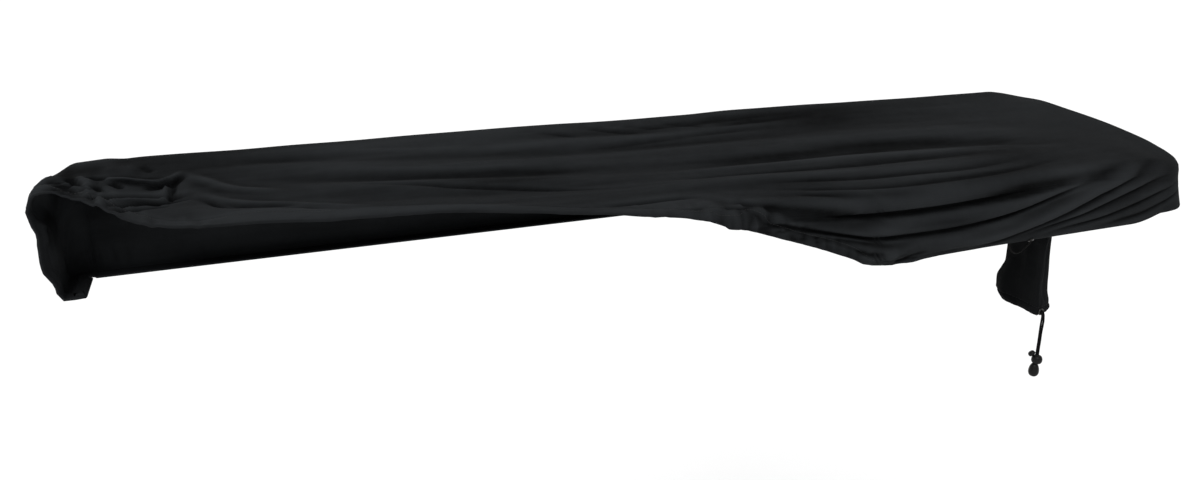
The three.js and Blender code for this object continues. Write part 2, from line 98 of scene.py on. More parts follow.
# %% Turn points and faces into an object
def mesh_object(name, points, faces, pattern, closed=False):
    """An object of smooth faces, all turned outwards where its form is closed.

    Points are in metres, and pattern is the flat place of each point.
    """
    mesh = bpy.data.meshes.new(name)
    mesh.from_pydata(np.asarray(points).tolist(), [], faces)
    layer = mesh.uv_layers.new(name="pattern")
    corner_points = np.empty(len(mesh.loops), dtype=np.int32)
    mesh.loops.foreach_get("vertex_index", corner_points)
    layer.data.foreach_set("uv", np.asarray(pattern)[corner_points].ravel())
    mesh.polygons.foreach_set("use_smooth", [True] * len(mesh.polygons))
    mesh.validate()
    if closed:
        solid = bmesh.new()
        solid.from_mesh(mesh)
        bmesh.ops.recalc_face_normals(solid, faces=solid.faces)
        solid.to_mesh(mesh)
        solid.free()
    piece = bpy.data.objects.new(name, mesh)
    bpy.context.scene.collection.objects.link(piece)
    return piece


def strip_faces(first, second, closed):
    """Quads between two rows of point numbers."""
    count = len(first) if closed else len(first) - 1
    return [
        (first[i], first[(i + 1) % len(first)], second[(i + 1) % len(second)], second[i])
        for i in range(count)
    ]


def tube_faces(ring_count, sides):
    """Point numbers of closed rings laid one after another, and the quads between them."""
    rings = np.arange(ring_count * sides).reshape(ring_count, sides).tolist()
    faces = []
    for first, second in zip(rings, rings[1:]):
        faces += strip_faces(first, second, closed=True)
    return rings, faces


def give_painted_shading(piece, values):
    """Store painted light and shade at each point, from about -1 (painted shade) to 1 (painted
    highlight), as a guide for its colour.
    """
    layer = piece.data.attributes.new("painted_shading", "FLOAT", "POINT")
    layer.data.foreach_set("value", values)


def thicken(piece, thickness):
    """Give cloth its thickness, in millimetres, behind its face."""
    cloth = piece.modifiers.new("cloth_thickness", "SOLIDIFY")
    cloth.thickness = thickness * MM
    cloth.offset = -1


def count_triangles(piece):
    """Triangles of a piece once its modifiers are applied."""
    shown = piece.evaluated_get(bpy.context.evaluated_depsgraph_get())
    return sum(len(polygon.vertices) - 2 for polygon in shown.data.polygons)


print("mesh tools ready")

# %% Directions and distances
def unit(vectors):
    """The same directions, with a length of 1."""
    return vectors / np.linalg.norm(vectors, axis=-1, keepdims=True)


def run_along(line):
    """Distance of each point of a line from its start."""
    return np.concatenate([[0], np.cumsum(np.linalg.norm(np.diff(line, axis=0), axis=1))])


def full_turn(sides):
    """Equal angles round a circle."""
    return np.arange(sides) * 2 * math.pi / sides


def circle(angle, one, two):
    """Directions at each angle, turning from one towards two."""
    return np.cos(angle)[..., None] * one + np.sin(angle)[..., None] * two


def divided(value, by):
    """value / by, and value itself where by is 0."""
    return value / np.where(by > 0, by, 1)


print("direction tools ready")

# %% Curves through a few measured points
def smooth(t):
    """A soft step from 0 to 1."""
    t = np.clip(t, 0, 1)
    return t * t * (3 - 2 * t)


def bump(t):
    """A soft hill: 1 at 0, and 0 from -1 and 1 outwards."""
    return smooth(1 - np.abs(t))


def smooth_line(points, spacing):
    """One smooth line through the points, with a point about every `spacing`."""
    p = np.asarray(points, float)
    p = np.vstack([2 * p[0] - p[1], p, 2 * p[-1] - p[-2]])
    line = []
    for a, b, c, d in zip(p, p[1:], p[2:], p[3:]):
        count = max(1, math.ceil(np.linalg.norm(c - b) / spacing))
        t = np.arange(count)[:, None] / count
        bend = (2 * a - 5 * b + 4 * c - d) * t**2 + (3 * b - a - 3 * c + d) * t**3
        line.append(0.5 * (2 * b + (c - a) * t + bend))
    return np.vstack([*line, p[-2]])


def table_curve(x, y):
    """A smooth function through table values that never overshoots them."""
    x, y = np.asarray(x, float), np.asarray(y, float)
    chord = np.diff(y) / np.diff(x)
    before, after = chord[:-1], chord[1:]
    turns = before * after <= 0
    total = np.where(turns, 1, before + after)
    inner = np.where(turns, 0, 2 * before * after / total)
    slope = np.concatenate([chord[:1], inner, chord[-1:]])

    def value(at):
        at = np.clip(at, x[0], x[-1])
        i = np.clip(np.searchsorted(x, at) - 1, 0, len(x) - 2)
        h = x[i + 1] - x[i]
        t = (at - x[i]) / h
        rise = (y[i + 1] - y[i]) * t * t * (3 - 2 * t)
        return y[i] + rise + h * t * (1 - t) * ((1 - t) * slope[i] - t * slope[i + 1])

    return value


LATTICE = 64  # the uneven waves repeat after this many hills


def lattice_noise(x, y, seed):
    """Soft uneven waves from -1 to 1, one hill or hollow for each unit of x and y."""
    table = np.random.default_rng(seed).uniform(-1, 1, (LATTICE, LATTICE))
    i, j = np.floor(x).astype(int), np.floor(y).astype(int)
    s, t = smooth(x - i), smooth(y - j)

    def row(j):
        left, right = table[i % LATTICE, j % LATTICE], table[(i + 1) % LATTICE, j % LATTICE]
        return left * (1 - s) + right * s

    return row(j) * (1 - t) + row(j + 1) * t


print("curve tools ready")

# %% [markdown]
# ## The elastic cords
# Three lengths of round elastic cord show: two strands run out of the bag's eyelet into
# the cord lock, and a short loop of the hem cord hangs below the front hem and goes
# back in through its eyelet. Such cord is a rubber core in a braided sleeve. A curve
# with a bevel would do for a plain cable, but the braid has raised strands, so the cord
# is a mesh tube whose radius follows two opposite spirals.

# %% Routes of the cords, in metres
BAG_CORD_WIDTH, HEM_CORD_WIDTH = 0.0024, 0.0016
CORD_ROUTES = {
    "braided_cord_left": [
        (0.4419, -0.1255, -0.207), (0.4418, -0.1276, -0.2074), (0.4419, -0.129, -0.2098),
        (0.4424, -0.129, -0.214), (0.443, -0.1285, -0.219), (0.444, -0.1276, -0.225),
        (0.446, -0.1261, -0.236), (0.448, -0.1248, -0.248), (0.4489, -0.1241, -0.259),
        (0.4495, -0.1238, -0.2694),
    ],
    "braided_cord_right": [
        (0.4445, -0.1255, -0.207), (0.4446, -0.1276, -0.2074), (0.4446, -0.129, -0.2098),
        (0.4446, -0.1298, -0.214), (0.4451, -0.1299, -0.219), (0.446, -0.1291, -0.225),
        (0.4477, -0.1274, -0.236), (0.4497, -0.1261, -0.248), (0.4506, -0.1254, -0.259),
        (0.4514, -0.1251, -0.2694),
    ],
    "hem_pull_loop": [
        (0.357, -0.1372, -0.1021), (0.3576, -0.1384, -0.1044), (0.3596, -0.1392, -0.108),
        (0.3634, -0.1396, -0.1116), (0.3684, -0.1398, -0.1134), (0.3736, -0.1402, -0.1126),
        (0.3784, -0.1408, -0.1094), (0.3824, -0.1416, -0.1054), (0.3856, -0.142, -0.1022),
        (0.3878, -0.1416, -0.1003), (0.3886, -0.1403, -0.0995),
    ],
}
print("cord routes:", len(CORD_ROUTES))

# %% Braided tube along a line
BRAID_PITCH = 0.0042  # length of one turn of a strand
BRAID_STRANDS = 4  # strands each way round
BRAID_RISE = 0.09  # how far a strand stands out, as a share of the radius
BRAID_MIDDLE = 0.6  # the level of the strands that lies at the cord's stated width
BRAID_SIDES = 24
SEAM_SIDE = (0.3, 0.9, 0.1)  # any direction that no cord starts along


def braided_tube(name, line, width):
    """A tube round the line, with crossing strands raised on it."""
    along = unit(np.gradient(line, axis=0))
    across = np.zeros_like(line)
    across[0] = np.cross(along[0], SEAM_SIDE)
    for i in range(1, len(line)):
        across[i] = across[i - 1] - along[i] * (across[i - 1] @ along[i])
    across = unit(across)
    run, angle = run_along(line)[:, None], full_turn(BRAID_SIDES)[None]
    turn = 2 * math.pi * run / BRAID_PITCH * BRAID_STRANDS / 2
    one_way = np.cos(BRAID_STRANDS * angle + turn)
    other_way = np.cos(BRAID_STRANDS * angle - turn)
    radius = width / 2 * (1 + BRAID_RISE * (np.maximum(one_way, other_way) - BRAID_MIDDLE))
    ring = circle(angle, across[:, None], np.cross(along, across)[:, None])
    points = (line[:, None] + ring * radius[..., None]).reshape(-1, 3)
    pattern = np.stack(np.broadcast_arrays(run, angle * width / 2), -1).reshape(-1, 2)
    rings, faces = tube_faces(len(line), BRAID_SIDES)
    return mesh_object(name, points, [rings[0], rings[-1], *faces], pattern, closed=True)


CORD_STEP = 0.00045
cord_lines = {name: smooth_line(route, CORD_STEP) for name, route in CORD_ROUTES.items()}
cords = {}
for name, line in cord_lines.items():
    width = HEM_CORD_WIDTH if name == "hem_pull_loop" else BAG_CORD_WIDTH
    cords[name] = braided_tube(name, line, width)

# %% [markdown]
# ## The cover: from flat pattern to stretched form
# A cover like this is cut flat and sewn, then stretched over the instrument. The
# model goes the same way. A flat pattern has u along the keyboard and v to the back,
# and one function says where each point of it lies on the stretched form: over the
# top, round the rolled edge, down the wall and under the bottom. A cloth simulation
# over a box could give the same form, but not the folds where they really lie.

# %% Sizes of the stretched form, in millimetres
HALF_LENGTH, HALF_DEPTH = 656.0, 142.0
LEFT_CORNER, RIGHT_CORNER = 26.0, 46.0  # plan radius of the corners
EDGE_RADIUS = 12.0  # rounding where the top turns into a wall
BOTTOM_Z, BOTTOM_RADIUS = -94.0, 7.0
WALL, WALL_SHARE = 100.0, 0.85  # pattern units for a wall, and its upright part
WRAP_UNDER = 15.0

TOP_PROFILE = np.array([
    # y, height in the middle, at the left end, at the right end
    (-142, -22, -31, -28),
    (-130, -17, -27, -25),
    (-100, -11.5, -20, -18),
    (-72, -7, -12, -10),
    (-40, -5, -4, -3.5),
    (-10, -2.5, 2, 1.5),
    (20, 2.2, 6, 5.5),
    (60, 9.5, 12, 10),
    (96, 18.5, 18, 14),
    (130, 27.5, 23, 16.5),
    (142, 29.5, 24, 17),
])
END_BLEND_FROM, END_BLEND_LENGTH = 90.0, 80.0
SLACK_FROM, SLACK_TO, SLACK_RUN, SLACK_DROP = 110.0, 630.0, 70.0, 7.0
BULGE_AT, BULGE_RUN, BULGE_DROP = 180.0, 60.0, 2.5
RISE_FROM, RISE_RUN, RISE_HEIGHT = 570.0, 70.0, 6.0
FLAP_AT, FLAP_RUN, FLAP_EXTRA = 448.0, 95.0, 50.0
DROOP_FROM, DROOP_RUN, DROOP_HEIGHT = 636.0, 20.0, 7.0
CORNER_SQUARING = 0.6  # the lower corners are squarer by this share

middle_height, left_height, right_height = [
    table_curve(TOP_PROFILE[:, 0], TOP_PROFILE[:, column]) for column in (1, 2, 3)
]


def top_height(x, y):
    """How high the top lies: one profile in the middle, and one at each end."""
    end_share = smooth((np.abs(x) - (HALF_LENGTH - END_BLEND_FROM)) / END_BLEND_LENGTH)
    end = np.where(x > 0, right_height(y), left_height(y))
    droop = DROOP_HEIGHT * smooth((-x - DROOP_FROM) / DROOP_RUN)
    return middle_height(y) * (1 - end_share) + end * end_share - droop


def slack_drop(x):
    """How far the slack front wall hangs below the form."""
    stretch = smooth((x - SLACK_FROM) / SLACK_RUN) * smooth((SLACK_TO - x) / SLACK_RUN)
    bulge = BULGE_DROP * bump((x - BULGE_AT) / BULGE_RUN)
    return SLACK_DROP * stretch + bulge - RISE_HEIGHT * smooth((x - RISE_FROM) / RISE_RUN)


print("form:", 2 * HALF_LENGTH, "by", 2 * HALF_DEPTH, "mm")

# %% Place a point of the pattern on the form
def place(u, v):
    """Where the cloth lies for a point of the flat pattern, without folds, in millimetres."""
    u, v = np.broadcast_arrays(np.asarray(u, float), np.asarray(v, float))
    # in plan, squares of the pattern become the arcs of the rounded corners
    corner = np.where(u > 0, RIGHT_CORNER, LEFT_CORNER)
    near_u = np.clip(u, corner - HALF_LENGTH, HALF_LENGTH - corner)
    near_v = np.clip(v, corner - HALF_DEPTH, HALF_DEPTH - corner)
    reach = np.maximum(np.abs(u - near_u), np.abs(v - near_v))
    a, b = divided(u - near_u, reach), divided(v - near_v, reach)
    out_x, out_y = a * np.sqrt(1 - b * b / 2), b * np.sqrt(1 - a * a / 2)
    length = np.hypot(out_x, out_y)
    out_x, out_y = divided(out_x, length), divided(out_y, length)
    on_top = np.minimum(reach, corner)
    x, y = near_u + on_top * out_x, near_v + on_top * out_y
    # over the top and its rolled edge
    top = top_height(x, y)
    round_share = np.clip((on_top - corner + EDGE_RADIUS) / EDGE_RADIUS, 0, 1)
    top_z = top - EDGE_RADIUS * (1 - np.sqrt(1 - round_share**2))
    # down the wall, round its foot and in under the bottom
    front = np.maximum(0, -out_y)
    bottom = BOTTOM_Z - slack_drop(x) * front
    upright = top - bottom - EDGE_RADIUS - BOTTOM_RADIUS
    share = np.maximum(0, reach - corner) / WALL
    down = np.minimum(share / WALL_SHARE, 1) * (upright + BOTTOM_RADIUS * math.pi / 2)
    flap = WRAP_UNDER + FLAP_EXTRA * bump((x - FLAP_AT) / FLAP_RUN) * front * front
    under = np.maximum(0, share - WALL_SHARE) / (1 - WALL_SHARE) * flap
    turn = np.maximum(0, down - upright) / BOTTOM_RADIUS
    fill = CORNER_SQUARING * corner * smooth(share) * (np.abs(out_x) + np.abs(out_y) - 1)
    inset = BOTTOM_RADIUS * (1 - np.cos(turn)) + under - fill * (length > 0)
    wall_z = top - EDGE_RADIUS - np.minimum(down, upright) - BOTTOM_RADIUS * np.sin(turn)
    z = np.where(reach > corner, wall_z, top_z)
    return np.stack([x - inset * out_x, y - inset * out_y, z], -1)


LOOK_ROUND = 1.5  # slopes are taken this far to each side


def directions(u, v):
    """Unit vectors of the form at a pattern point: along v, and straight out of the cloth."""
    along_u = place(u + LOOK_ROUND, v) - place(u - LOOK_ROUND, v)
    along_v = place(u, v + LOOK_ROUND) - place(u, v - LOOK_ROUND)
    return unit(along_v), unit(np.cross(along_u, along_v))


print("middle of the top lies at", np.round(place(0, 0), 1), "mm")

# %% [markdown]
# ## The front edge
# The cover is half off: its front edge has been pushed back over the left keys and
# bunches there, then runs down across the front at the right. The edge is one curve
# v(u) in the pattern, so the cloth in front of it simply isn't made.

# %% Front edge of the cloth
FRONT_HEM = np.array([
    # u, v
    (-756, 62), (-715, 56), (-680, 58), (-656, 66), (-641, 58), (-625, 51), (-612, 38),
    (-600, 25), (-582, 2), (-562, -17), (-540, -30), (-510, -36), (-478, -39), (-410, -57),
    (-320, -72), (-176, -104), (-104, -126), (-78, -134), (-50, -139), (-36, -141.4),
    (-24, -143), (-8, -147.5), (14, -157), (44, -171),
    (77, -186), (110, -202), (142, -218), (172, -239), (205, -242), (756, -242),
])
front_edge = table_curve(FRONT_HEM[:, 0], FRONT_HEM[:, 1])
EDGE_U, EDGE_V = HALF_LENGTH + WALL, HALF_DEPTH + WALL
SLOPE_REACH = 2.0


def hem_distance(u, v):
    """Distance from a pattern point to the nearest edge of the cloth."""
    slope = (front_edge(u + SLOPE_REACH) - front_edge(u - SLOPE_REACH)) / (2 * SLOPE_REACH)
    to_front = (v - front_edge(u)) / np.sqrt(1 + slope**2)
    return np.minimum(np.minimum(to_front, EDGE_V - v), EDGE_U - np.abs(u))


print("edge at the middle of the keyboard: v =", float(front_edge(0)))

# %% [markdown]
# ## The folds
# Each fold is a soft ridge or trough along a line in the pattern. Height is how far
# it stands out (or in, if negative), width half its width at half its height, crisp how
# sharp its crest is, and lean how far the crest tips over towards the front, as a share
# of its height. The lean makes the dark undercut line that real folds have. Sculpting
# could draw these, but a table can be read, measured and changed.

# %% Folds of the front and the right end
Fold = namedtuple("Fold", "name width height crisp lean path")
RIGHT_FOLDS = [
    Fold("first thin crease", 3.2, -2.2, 1.2, 0, [
        (0, -78), (23, -81), (88, -89), (149, -97), (215, -101), (286, -103), (365, -99),
        (430, -90)]),
    Fold("roll under the first crease", 6, 1.6, 1, 0.6, [
        (20, -89), (100, -99), (180, -107), (260, -110), (360, -106)]),
    Fold("second thin crease", 3.4, -3, 1.2, 0, [
        (10, -92), (31, -98), (96, -114), (156, -123), (237, -126), (328, -122), (416, -112),
        (480, -100)]),
    Fold("roll under the second crease", 5, 1.8, 1, 0.6, [
        (40, -110), (100, -122), (170, -130), (250, -133), (330, -130)]),
    Fold("third thin crease", 2.8, -2, 1.2, 0, [
        (40, -115), (102, -130), (135, -133), (187, -135), (240, -136)]),
    Fold("lip above the groove", 6, 3.4, 1, 0.9, [
        (-70, -90), (-30, -106), (31, -127), (69, -134), (122, -138), (207, -140), (268, -139),
        (330, -136), (400, -132), (490, -128)]),
    Fold("long groove", 3.4, -7.5, 1.1, 0, [
        (-60, -88), (-30, -114), (0, -127), (32, -137), (69, -142), (122, -147), (156, -150),
        (237, -152), (297, -149), (360, -145), (426, -142), (498, -139), (560, -134)]),
    Fold("roll under the groove", 10, 6.5, 1, 0.5, [
        (-10, -138), (40, -149), (90, -160), (136, -168), (182, -168), (241, -169), (302, -165),
        (364, -156), (428, -147), (498, -140)]),
    Fold("main crease", 2.9, -7, 1.2, 0, [
        (-60, -124), (-34, -131), (-6, -139), (30, -147), (70, -160), (136, -178), (182, -180),
        (241, -182), (302, -179), (364, -169), (428, -154), (498, -140), (550, -134)]),
    Fold("slack roll above the hem", 17, 8, 1, 0.3, [
        (70, -180), (115, -194), (170, -200), (235, -202), (305, -198), (370, -186), (430, -170)]),
    Fold("branch of the main crease", 2.8, -2.4, 1.3, 0, [
        (80, -172), (120, -184), (165, -190), (220, -191)]),
    Fold("short line in the slack", 2.6, -2.6, 1.2, 0, [
        (150, -208), (200, -212), (260, -211), (314, -208)]),
    Fold("end crease, lowest", 3.2, -3.6, 1.2, 0, [
        (230, -216), (314, -212), (382, -201), (436, -187), (490, -170), (530, -157)]),
    Fold("end roll, lowest", 6, 3.2, 1, 0.6, [
        (260, -205), (320, -202), (380, -192), (440, -176), (500, -157)]),
    Fold("end crease, upper", 2.8, -4.4, 1.2, 0, [
        (247, -205), (306, -207), (370, -199), (434, -182), (499, -162), (546, -145), (600, -128)]),
    Fold("end roll, upper", 6.5, 3.8, 1, 0.6, [
        (340, -196), (400, -184), (460, -166), (520, -147), (580, -130)]),
    Fold("end crease, middle", 2.6, -3.6, 1.2, 0, [
        (340, -214), (383, -208), (424, -202), (470, -190), (536, -168), (584, -152), (626, -138)]),
    Fold("end roll, middle", 5.5, 3.3, 1, 0.6, [
        (400, -198), (460, -186), (520, -166), (580, -146), (620, -132)]),
    Fold("end crease, lower", 2.6, -3.3, 1.2, 0, [
        (390, -217), (430, -211), (480, -204), (530, -194), (585, -178), (640, -160)]),
    Fold("end roll, lower", 5.5, 2.8, 1, 0.6, [
        (430, -204), (490, -195), (540, -182), (600, -164), (650, -148)]),
    Fold("crumple at the tip, first", 3, -3.2, 1.2, 0, [(120, -196), (146, -202), (172, -200)]),
    Fold("crumple at the tip, second", 2.8, 2.8, 1.2, 0.5, [(134, -208), (160, -206), (190, -200)]),
    Fold("crumple at the tip, third", 2.6, -3, 1.2, 0, [(176, -216), (198, -208), (226, -204)]),
    Fold("crumple at the tip, fourth", 2.6, 2.4, 1.2, 0.5, [(190, -222), (216, -214), (250, -214)]),
    Fold("end crease, last", 3.2, -3, 1.1, 0, [
        (470, -217), (530, -211), (585, -202), (640, -188), (690, -170)]),
]
print("folds on the front:", len(RIGHT_FOLDS))

# %% Long soft bands on the top
TOP_FOLDS = [
    Fold("edge of the plateau", 17, 4.2, 1, 0.4, [
        (-100, 30), (18, 28), (98, 27), (166, 27), (239, 30), (336, 28), (428, 16), (507, -10),
        (570, -34)]),
    Fold("step below the plateau", 12, -4.6, 1, 0, [
        (-60, -4), (79, -8), (167, -6), (243, -4), (330, -8), (414, -22), (479, -44), (545, -64)]),
    Fold("line under the step", 3.6, -1.8, 1.1, 0, [
        (60, -21), (167, -17), (243, -15), (330, -21), (414, -35), (479, -53), (535, -66)]),
    Fold("band below the step", 8, 3.4, 1, 0.6, [
        (-78, -29), (-1, -27), (66, -27), (148, -30), (212, -34), (261, -39), (336, -48),
        (401, -62), (470, -80)]),
    Fold("line before the front roll", 5, -3, 1.1, 0, [
        (-85, -44), (10, -49), (98, -54), (177, -58), (266, -58), (361, -60), (450, -70)]),
    Fold("roll over the front edge", 10, 3.6, 1, 0.5, [
        (-120, -64), (-20, -66), (60, -72), (140, -79), (220, -83), (320, -82), (400, -78)]),
    Fold("front band", 13, -3, 1, 0, [(-440, 8), (-340, -8), (-250, -22), (-150, -38), (-60, -52)]),
    Fold("middle band", 12, 3.2, 1, 0.4, [
        (-500, 44), (-400, 26), (-300, 10), (-200, -2), (-80, -14)]),
    Fold("hollow behind the middle band", 10, -3, 1, 0, [
        (-490, 66), (-390, 50), (-290, 34), (-180, 16), (-60, 2), (40, -6)]),
    Fold("back band", 11, 3, 1, 0.3, [(-540, 92), (-430, 78), (-320, 58), (-200, 42), (-80, 34)]),
    Fold("hollow behind the back band", 9, -2.6, 1, 0, [
        (-520, 108), (-400, 96), (-260, 80), (-100, 62), (95, 56), (220, 52)]),
    Fold("streak under the ridge", 7, 1.8, 1, 0, [
        (-300, 98), (-160, 88), (-18, 84), (140, 88), (280, 86)]),
    Fold("streak on the ridge", 4, -2.2, 1.2, 0, [(-60, 98), (40, 105), (140, 111), (240, 112)]),
    Fold("short streak", 4, -2, 1.2, 0, [(-120, 66), (-30, 71), (60, 76), (150, 80)]),
    Fold("shorter streak", 3.5, -1.8, 1.2, 0, [(60, 90), (120, 96), (190, 101), (250, 101)]),
    Fold("slanting wrinkle, first", 2.8, -1.8, 1.2, 0, [(-176, 118), (-132, 108), (-92, 90)]),
    Fold("slanting wrinkle, second", 2.8, -2.2, 1.2, 0, [(-104, 120), (-64, 106), (-16, 90)]),
    Fold("slanting wrinkle, third", 2.6, -1.6, 1.2, 0, [(-64, 120), (-28, 110), (20, 100)]),
    Fold("slanting wrinkle, fourth", 2.8, -2.2, 1.2, 0, [(-12, 116), (40, 108), (80, 88)]),
    Fold("slanting wrinkle, fifth", 2.6, -1.8, 1.2, 0, [(76, 120), (128, 108), (168, 88)]),
    Fold("thin rubbed line, back", 2.6, 1.6, 1.2, 0, [
        (-384, 108), (-332, 102), (-280, 96), (-220, 96)]),
    Fold("thin rubbed line, middle", 2.8, 1.6, 1.2, 0, [
        (-392, 66), (-320, 52), (-244, 38), (-148, 30)]),
    Fold("thin crease, middle", 2.8, -2.8, 1.2, 0, [
        (-396, 30), (-356, 22), (-312, 12), (-264, -4), (-200, -22), (-116, -50), (-76, -60)]),
    Fold("crease by the gathered hem", 2.8, -3.6, 1.1, 0, [
        (-160, -92), (-140, -95), (-104, -96), (-60, -97), (-34, -104)]),
    Fold("ridge line", 12, 1.6, 1, 0, [(-560, 118), (-300, 122), (0, 124), (300, 122), (560, 112)]),
]
print("folds on the top:", len(TOP_FOLDS))

# %% Bunched cloth at the left end
LEFT_FOLDS = [
    Fold("pinch", 2.8, 8, 1.2, 1, [
        (-612, 92), (-588, 84), (-566, 75), (-554, 73), (-544, 79), (-537, 88), (-531, 96)]),
    Fold("hollow under the pinch", 4, -6, 1, 0, [
        (-572, 67), (-560, 65), (-548, 68), (-538, 77), (-528, 86)]),
    Fold("pinch, falling end", 2, 3.6, 1.2, 0, [
        (-545, 86), (-547, 72), (-549, 54), (-550, 34), (-551, 16)]),
    Fold("hollow by the falling end", 2.6, -5, 1, 0, [
        (-538, 76), (-542, 62), (-544, 44), (-545, 28)]),
    Fold("pinch, trailing end", 5, 4.5, 1.1, 0.7, [
        (-545, 92), (-530, 82), (-512, 68), (-496, 53), (-480, 42), (-455, 32), (-430, 24)]),
    Fold("bunched crease, upper", 3.6, -8.5, 1, 0, [
        (-628, 56), (-606, 50), (-592, 50), (-576, 49), (-558, 44), (-536, 42), (-520, 44)]),
    Fold("bunched roll", 3, 4, 1, 1.2, [
        (-612, 42), (-594, 42), (-574, 42), (-556, 37), (-540, 34)]),
    Fold("bunched crease, lower", 3.4, -7.5, 1, 0, [
        (-606, 30), (-588, 31), (-570, 33), (-552, 30), (-534, 34), (-520, 38)]),
    Fold("bunched crease, last", 2.8, -4.5, 1, 0, [
        (-600, 20), (-586, 18), (-572, 20), (-556, 21), (-540, 20)]),
    Fold("thick hem roll", 11, 7, 1, 0.4, [
        (-600, 14), (-580, 8), (-556, 4), (-530, 4), (-508, -10), (-480, -20), (-440, -32),
        (-400, -45), (-330, -60), (-240, -82), (-160, -98)]),
    Fold("line above the hem roll", 3, -7, 1, 0, [
        (-546, 40), (-526, 32), (-514, 25), (-501, 8), (-484, -4), (-458, -12), (-424, -24),
        (-390, -42), (-354, -52), (-300, -62), (-240, -78)]),
    Fold("ridge into the hem roll", 5, 4.2, 1.1, 0.8, [
        (-532, 56), (-514, 38), (-498, 20), (-476, 8), (-440, -4), (-390, -24), (-340, -38)]),
    Fold("second line by the hem roll", 2.6, -3.5, 1.1, 0, [
        (-506, 26), (-494, 12), (-478, 2), (-450, -4), (-420, -12)]),
    Fold("light edge of the bunch", 2.6, 4, 1.1, 0, [
        (-607, 58), (-606, 46), (-603, 34), (-600, 24)]),
    Fold("flap outside the cheek", 11, 15.5, 1, 0, [
        (-657, 0), (-656, 36), (-656, 68), (-657, 100), (-659, 136)]),
    Fold("flap, hanging part", 14, 9, 1, 0, [(-660, 66), (-680, 62), (-700, 58), (-724, 56)]),
    Fold("wrinkle on the flap", 2.6, -3, 1, 0, [(-676, 84), (-668, 76), (-664, 66)]),
    Fold("second wrinkle on the flap", 2.6, -2.6, 1, 0, [(-690, 76), (-680, 70), (-674, 62)]),
    Fold("dimple, first", 2.6, -7.2, 1, 0, [(-652, 96), (-646, 88), (-638, 84)]),
    Fold("ridge by the first dimple", 3, 2.5, 1, 0.5, [(-650, 104), (-642, 96), (-634, 92)]),
    Fold("dimple, second", 2.6, -8, 1, 0, [(-637, 98), (-630, 88), (-624, 78)]),
    Fold("ridge by the second dimple", 3, 2.5, 1, 0.5, [(-630, 102), (-621, 92), (-614, 82)]),
    Fold("dimple, third", 2.6, -7.2, 1, 0, [(-622, 98), (-611, 92), (-600, 90)]),
    Fold("dimple, fourth", 2.4, -5.6, 1, 0, [(-644, 76), (-634, 72), (-624, 68)]),
    Fold("dimple, fifth", 2.4, -6.4, 1, 0, [(-618, 80), (-609, 72), (-604, 62)]),
    Fold("dimple, sixth", 2.4, -5.6, 1, 0, [(-600, 82), (-592, 74), (-586, 66)]),
    Fold("soft crown, first", 15, 3.4, 1, 0, [(-652, 142), (-632, 138), (-610, 132), (-585, 126)]),
    Fold("soft crown, second", 10, 2.4, 1, 0, [(-612, 112), (-592, 106), (-570, 102)]),
    Fold("wrinkle beside the crown", 3, -2, 1, 0, [(-572, 110), (-566, 102), (-560, 94)]),
]
print("folds at the left:", len(LEFT_FOLDS))

# %% [markdown]
# ## From folds to height
# For every pattern point the distance to each fold's line gives its share of that
# fold. Long uneven waves stand for the stretch lines that jersey has between its
# grips, small puckers for the hem gathered on its elastic, and crumples for the places
# where the cloth bunches. All of it fades out where the cloth is drawn under the form.

# %% Waves of the cloth between its folds
Wave = namedtuple("Wave", "height along across shift seed")
LONG_WAVES = Wave(0.9, 230, 15, 3, 11)
FINE_WAVES = Wave(0.35, 110, 7, 0, 12)
SOFT_HILLS = Wave(0.4, 60, 45, 0, 13)
WAVE_SLANT, WAVE_SWAY, WAVE_SWAY_LENGTH = 0.05, 6, 170
CALM_FROM, CALM_RUN = 560, 160  # the ends are too tight for long waves


def waves(wave, u, v):
    """Uneven waves whose hills are about as long and as wide as wave says."""
    return wave.height * lattice_noise(u / wave.along + wave.shift, v / wave.across, wave.seed)


def stretch_waves(u, v):
    """Long low waves along the keyboard, calm at the tight ends."""
    calm = smooth((CALM_FROM - np.abs(u)) / CALM_RUN)
    drift = v + WAVE_SLANT * u + WAVE_SWAY * np.sin(u / WAVE_SWAY_LENGTH)
    long_and_fine = waves(LONG_WAVES, u, drift) + waves(FINE_WAVES, u, drift)
    return long_and_fine * calm + waves(SOFT_HILLS, u, v)


print("waves from", LONG_WAVES.along, "down to", SOFT_HILLS.along, "mm long")

# %% Puckers and crumples
HEM_WIDTH = 12.0
HEM_SWELL, SWELL_EDGE, SWELL_RUN = 0.9, 2, 3
STITCH_DEPTH, STITCH_DIP = 0.7, 2.2
PUCKERS = Wave(1.0, 6.5, 22, 0, 14)
PUCKER_FROM, PUCKER_RUN = 0.7 * HEM_WIDTH, 30
EVEN_GATHER = 0.4
GATHERS = [
    # u, reach to each side, amount
    (-575, 95, 0.9), (-10, 130, 1.5), (130, 110, 0.8),
]
Spot = namedtuple("Spot", "name u v along across amount")
BUNCHED = Spot("left end, v from the hem", -632, 12, 56, 34, 1.0)
GATHERED = Spot("middle of the hem, v from the hem", 5, 10, 140, 26, 0.75)
TIP = Spot("tip of the slack, v in the pattern", 175, -214, 75, 30, 0.8)
COARSE_CRUMPLES, FINE_CRUMPLES = Wave(1.0, 11, 8, 0, 15), Wave(1.0, 5.5, 4.5, 0, 16)
CRUMPLE_SHIFT = 0.3
Crumple = namedtuple("Crumple", "coarse fine sink")
BUNCH_CRUMPLE, HEM_CRUMPLE = Crumple(5.5, 3.0, 2.8), Crumple(4.0, 2.0, 2.0)


def spot_share(spot, u, v):
    """How strong a spot is at a point: its amount in the middle, 0 at its rim."""
    return spot.amount * bump((u - spot.u) / spot.along) * bump((v - spot.v) / spot.across)


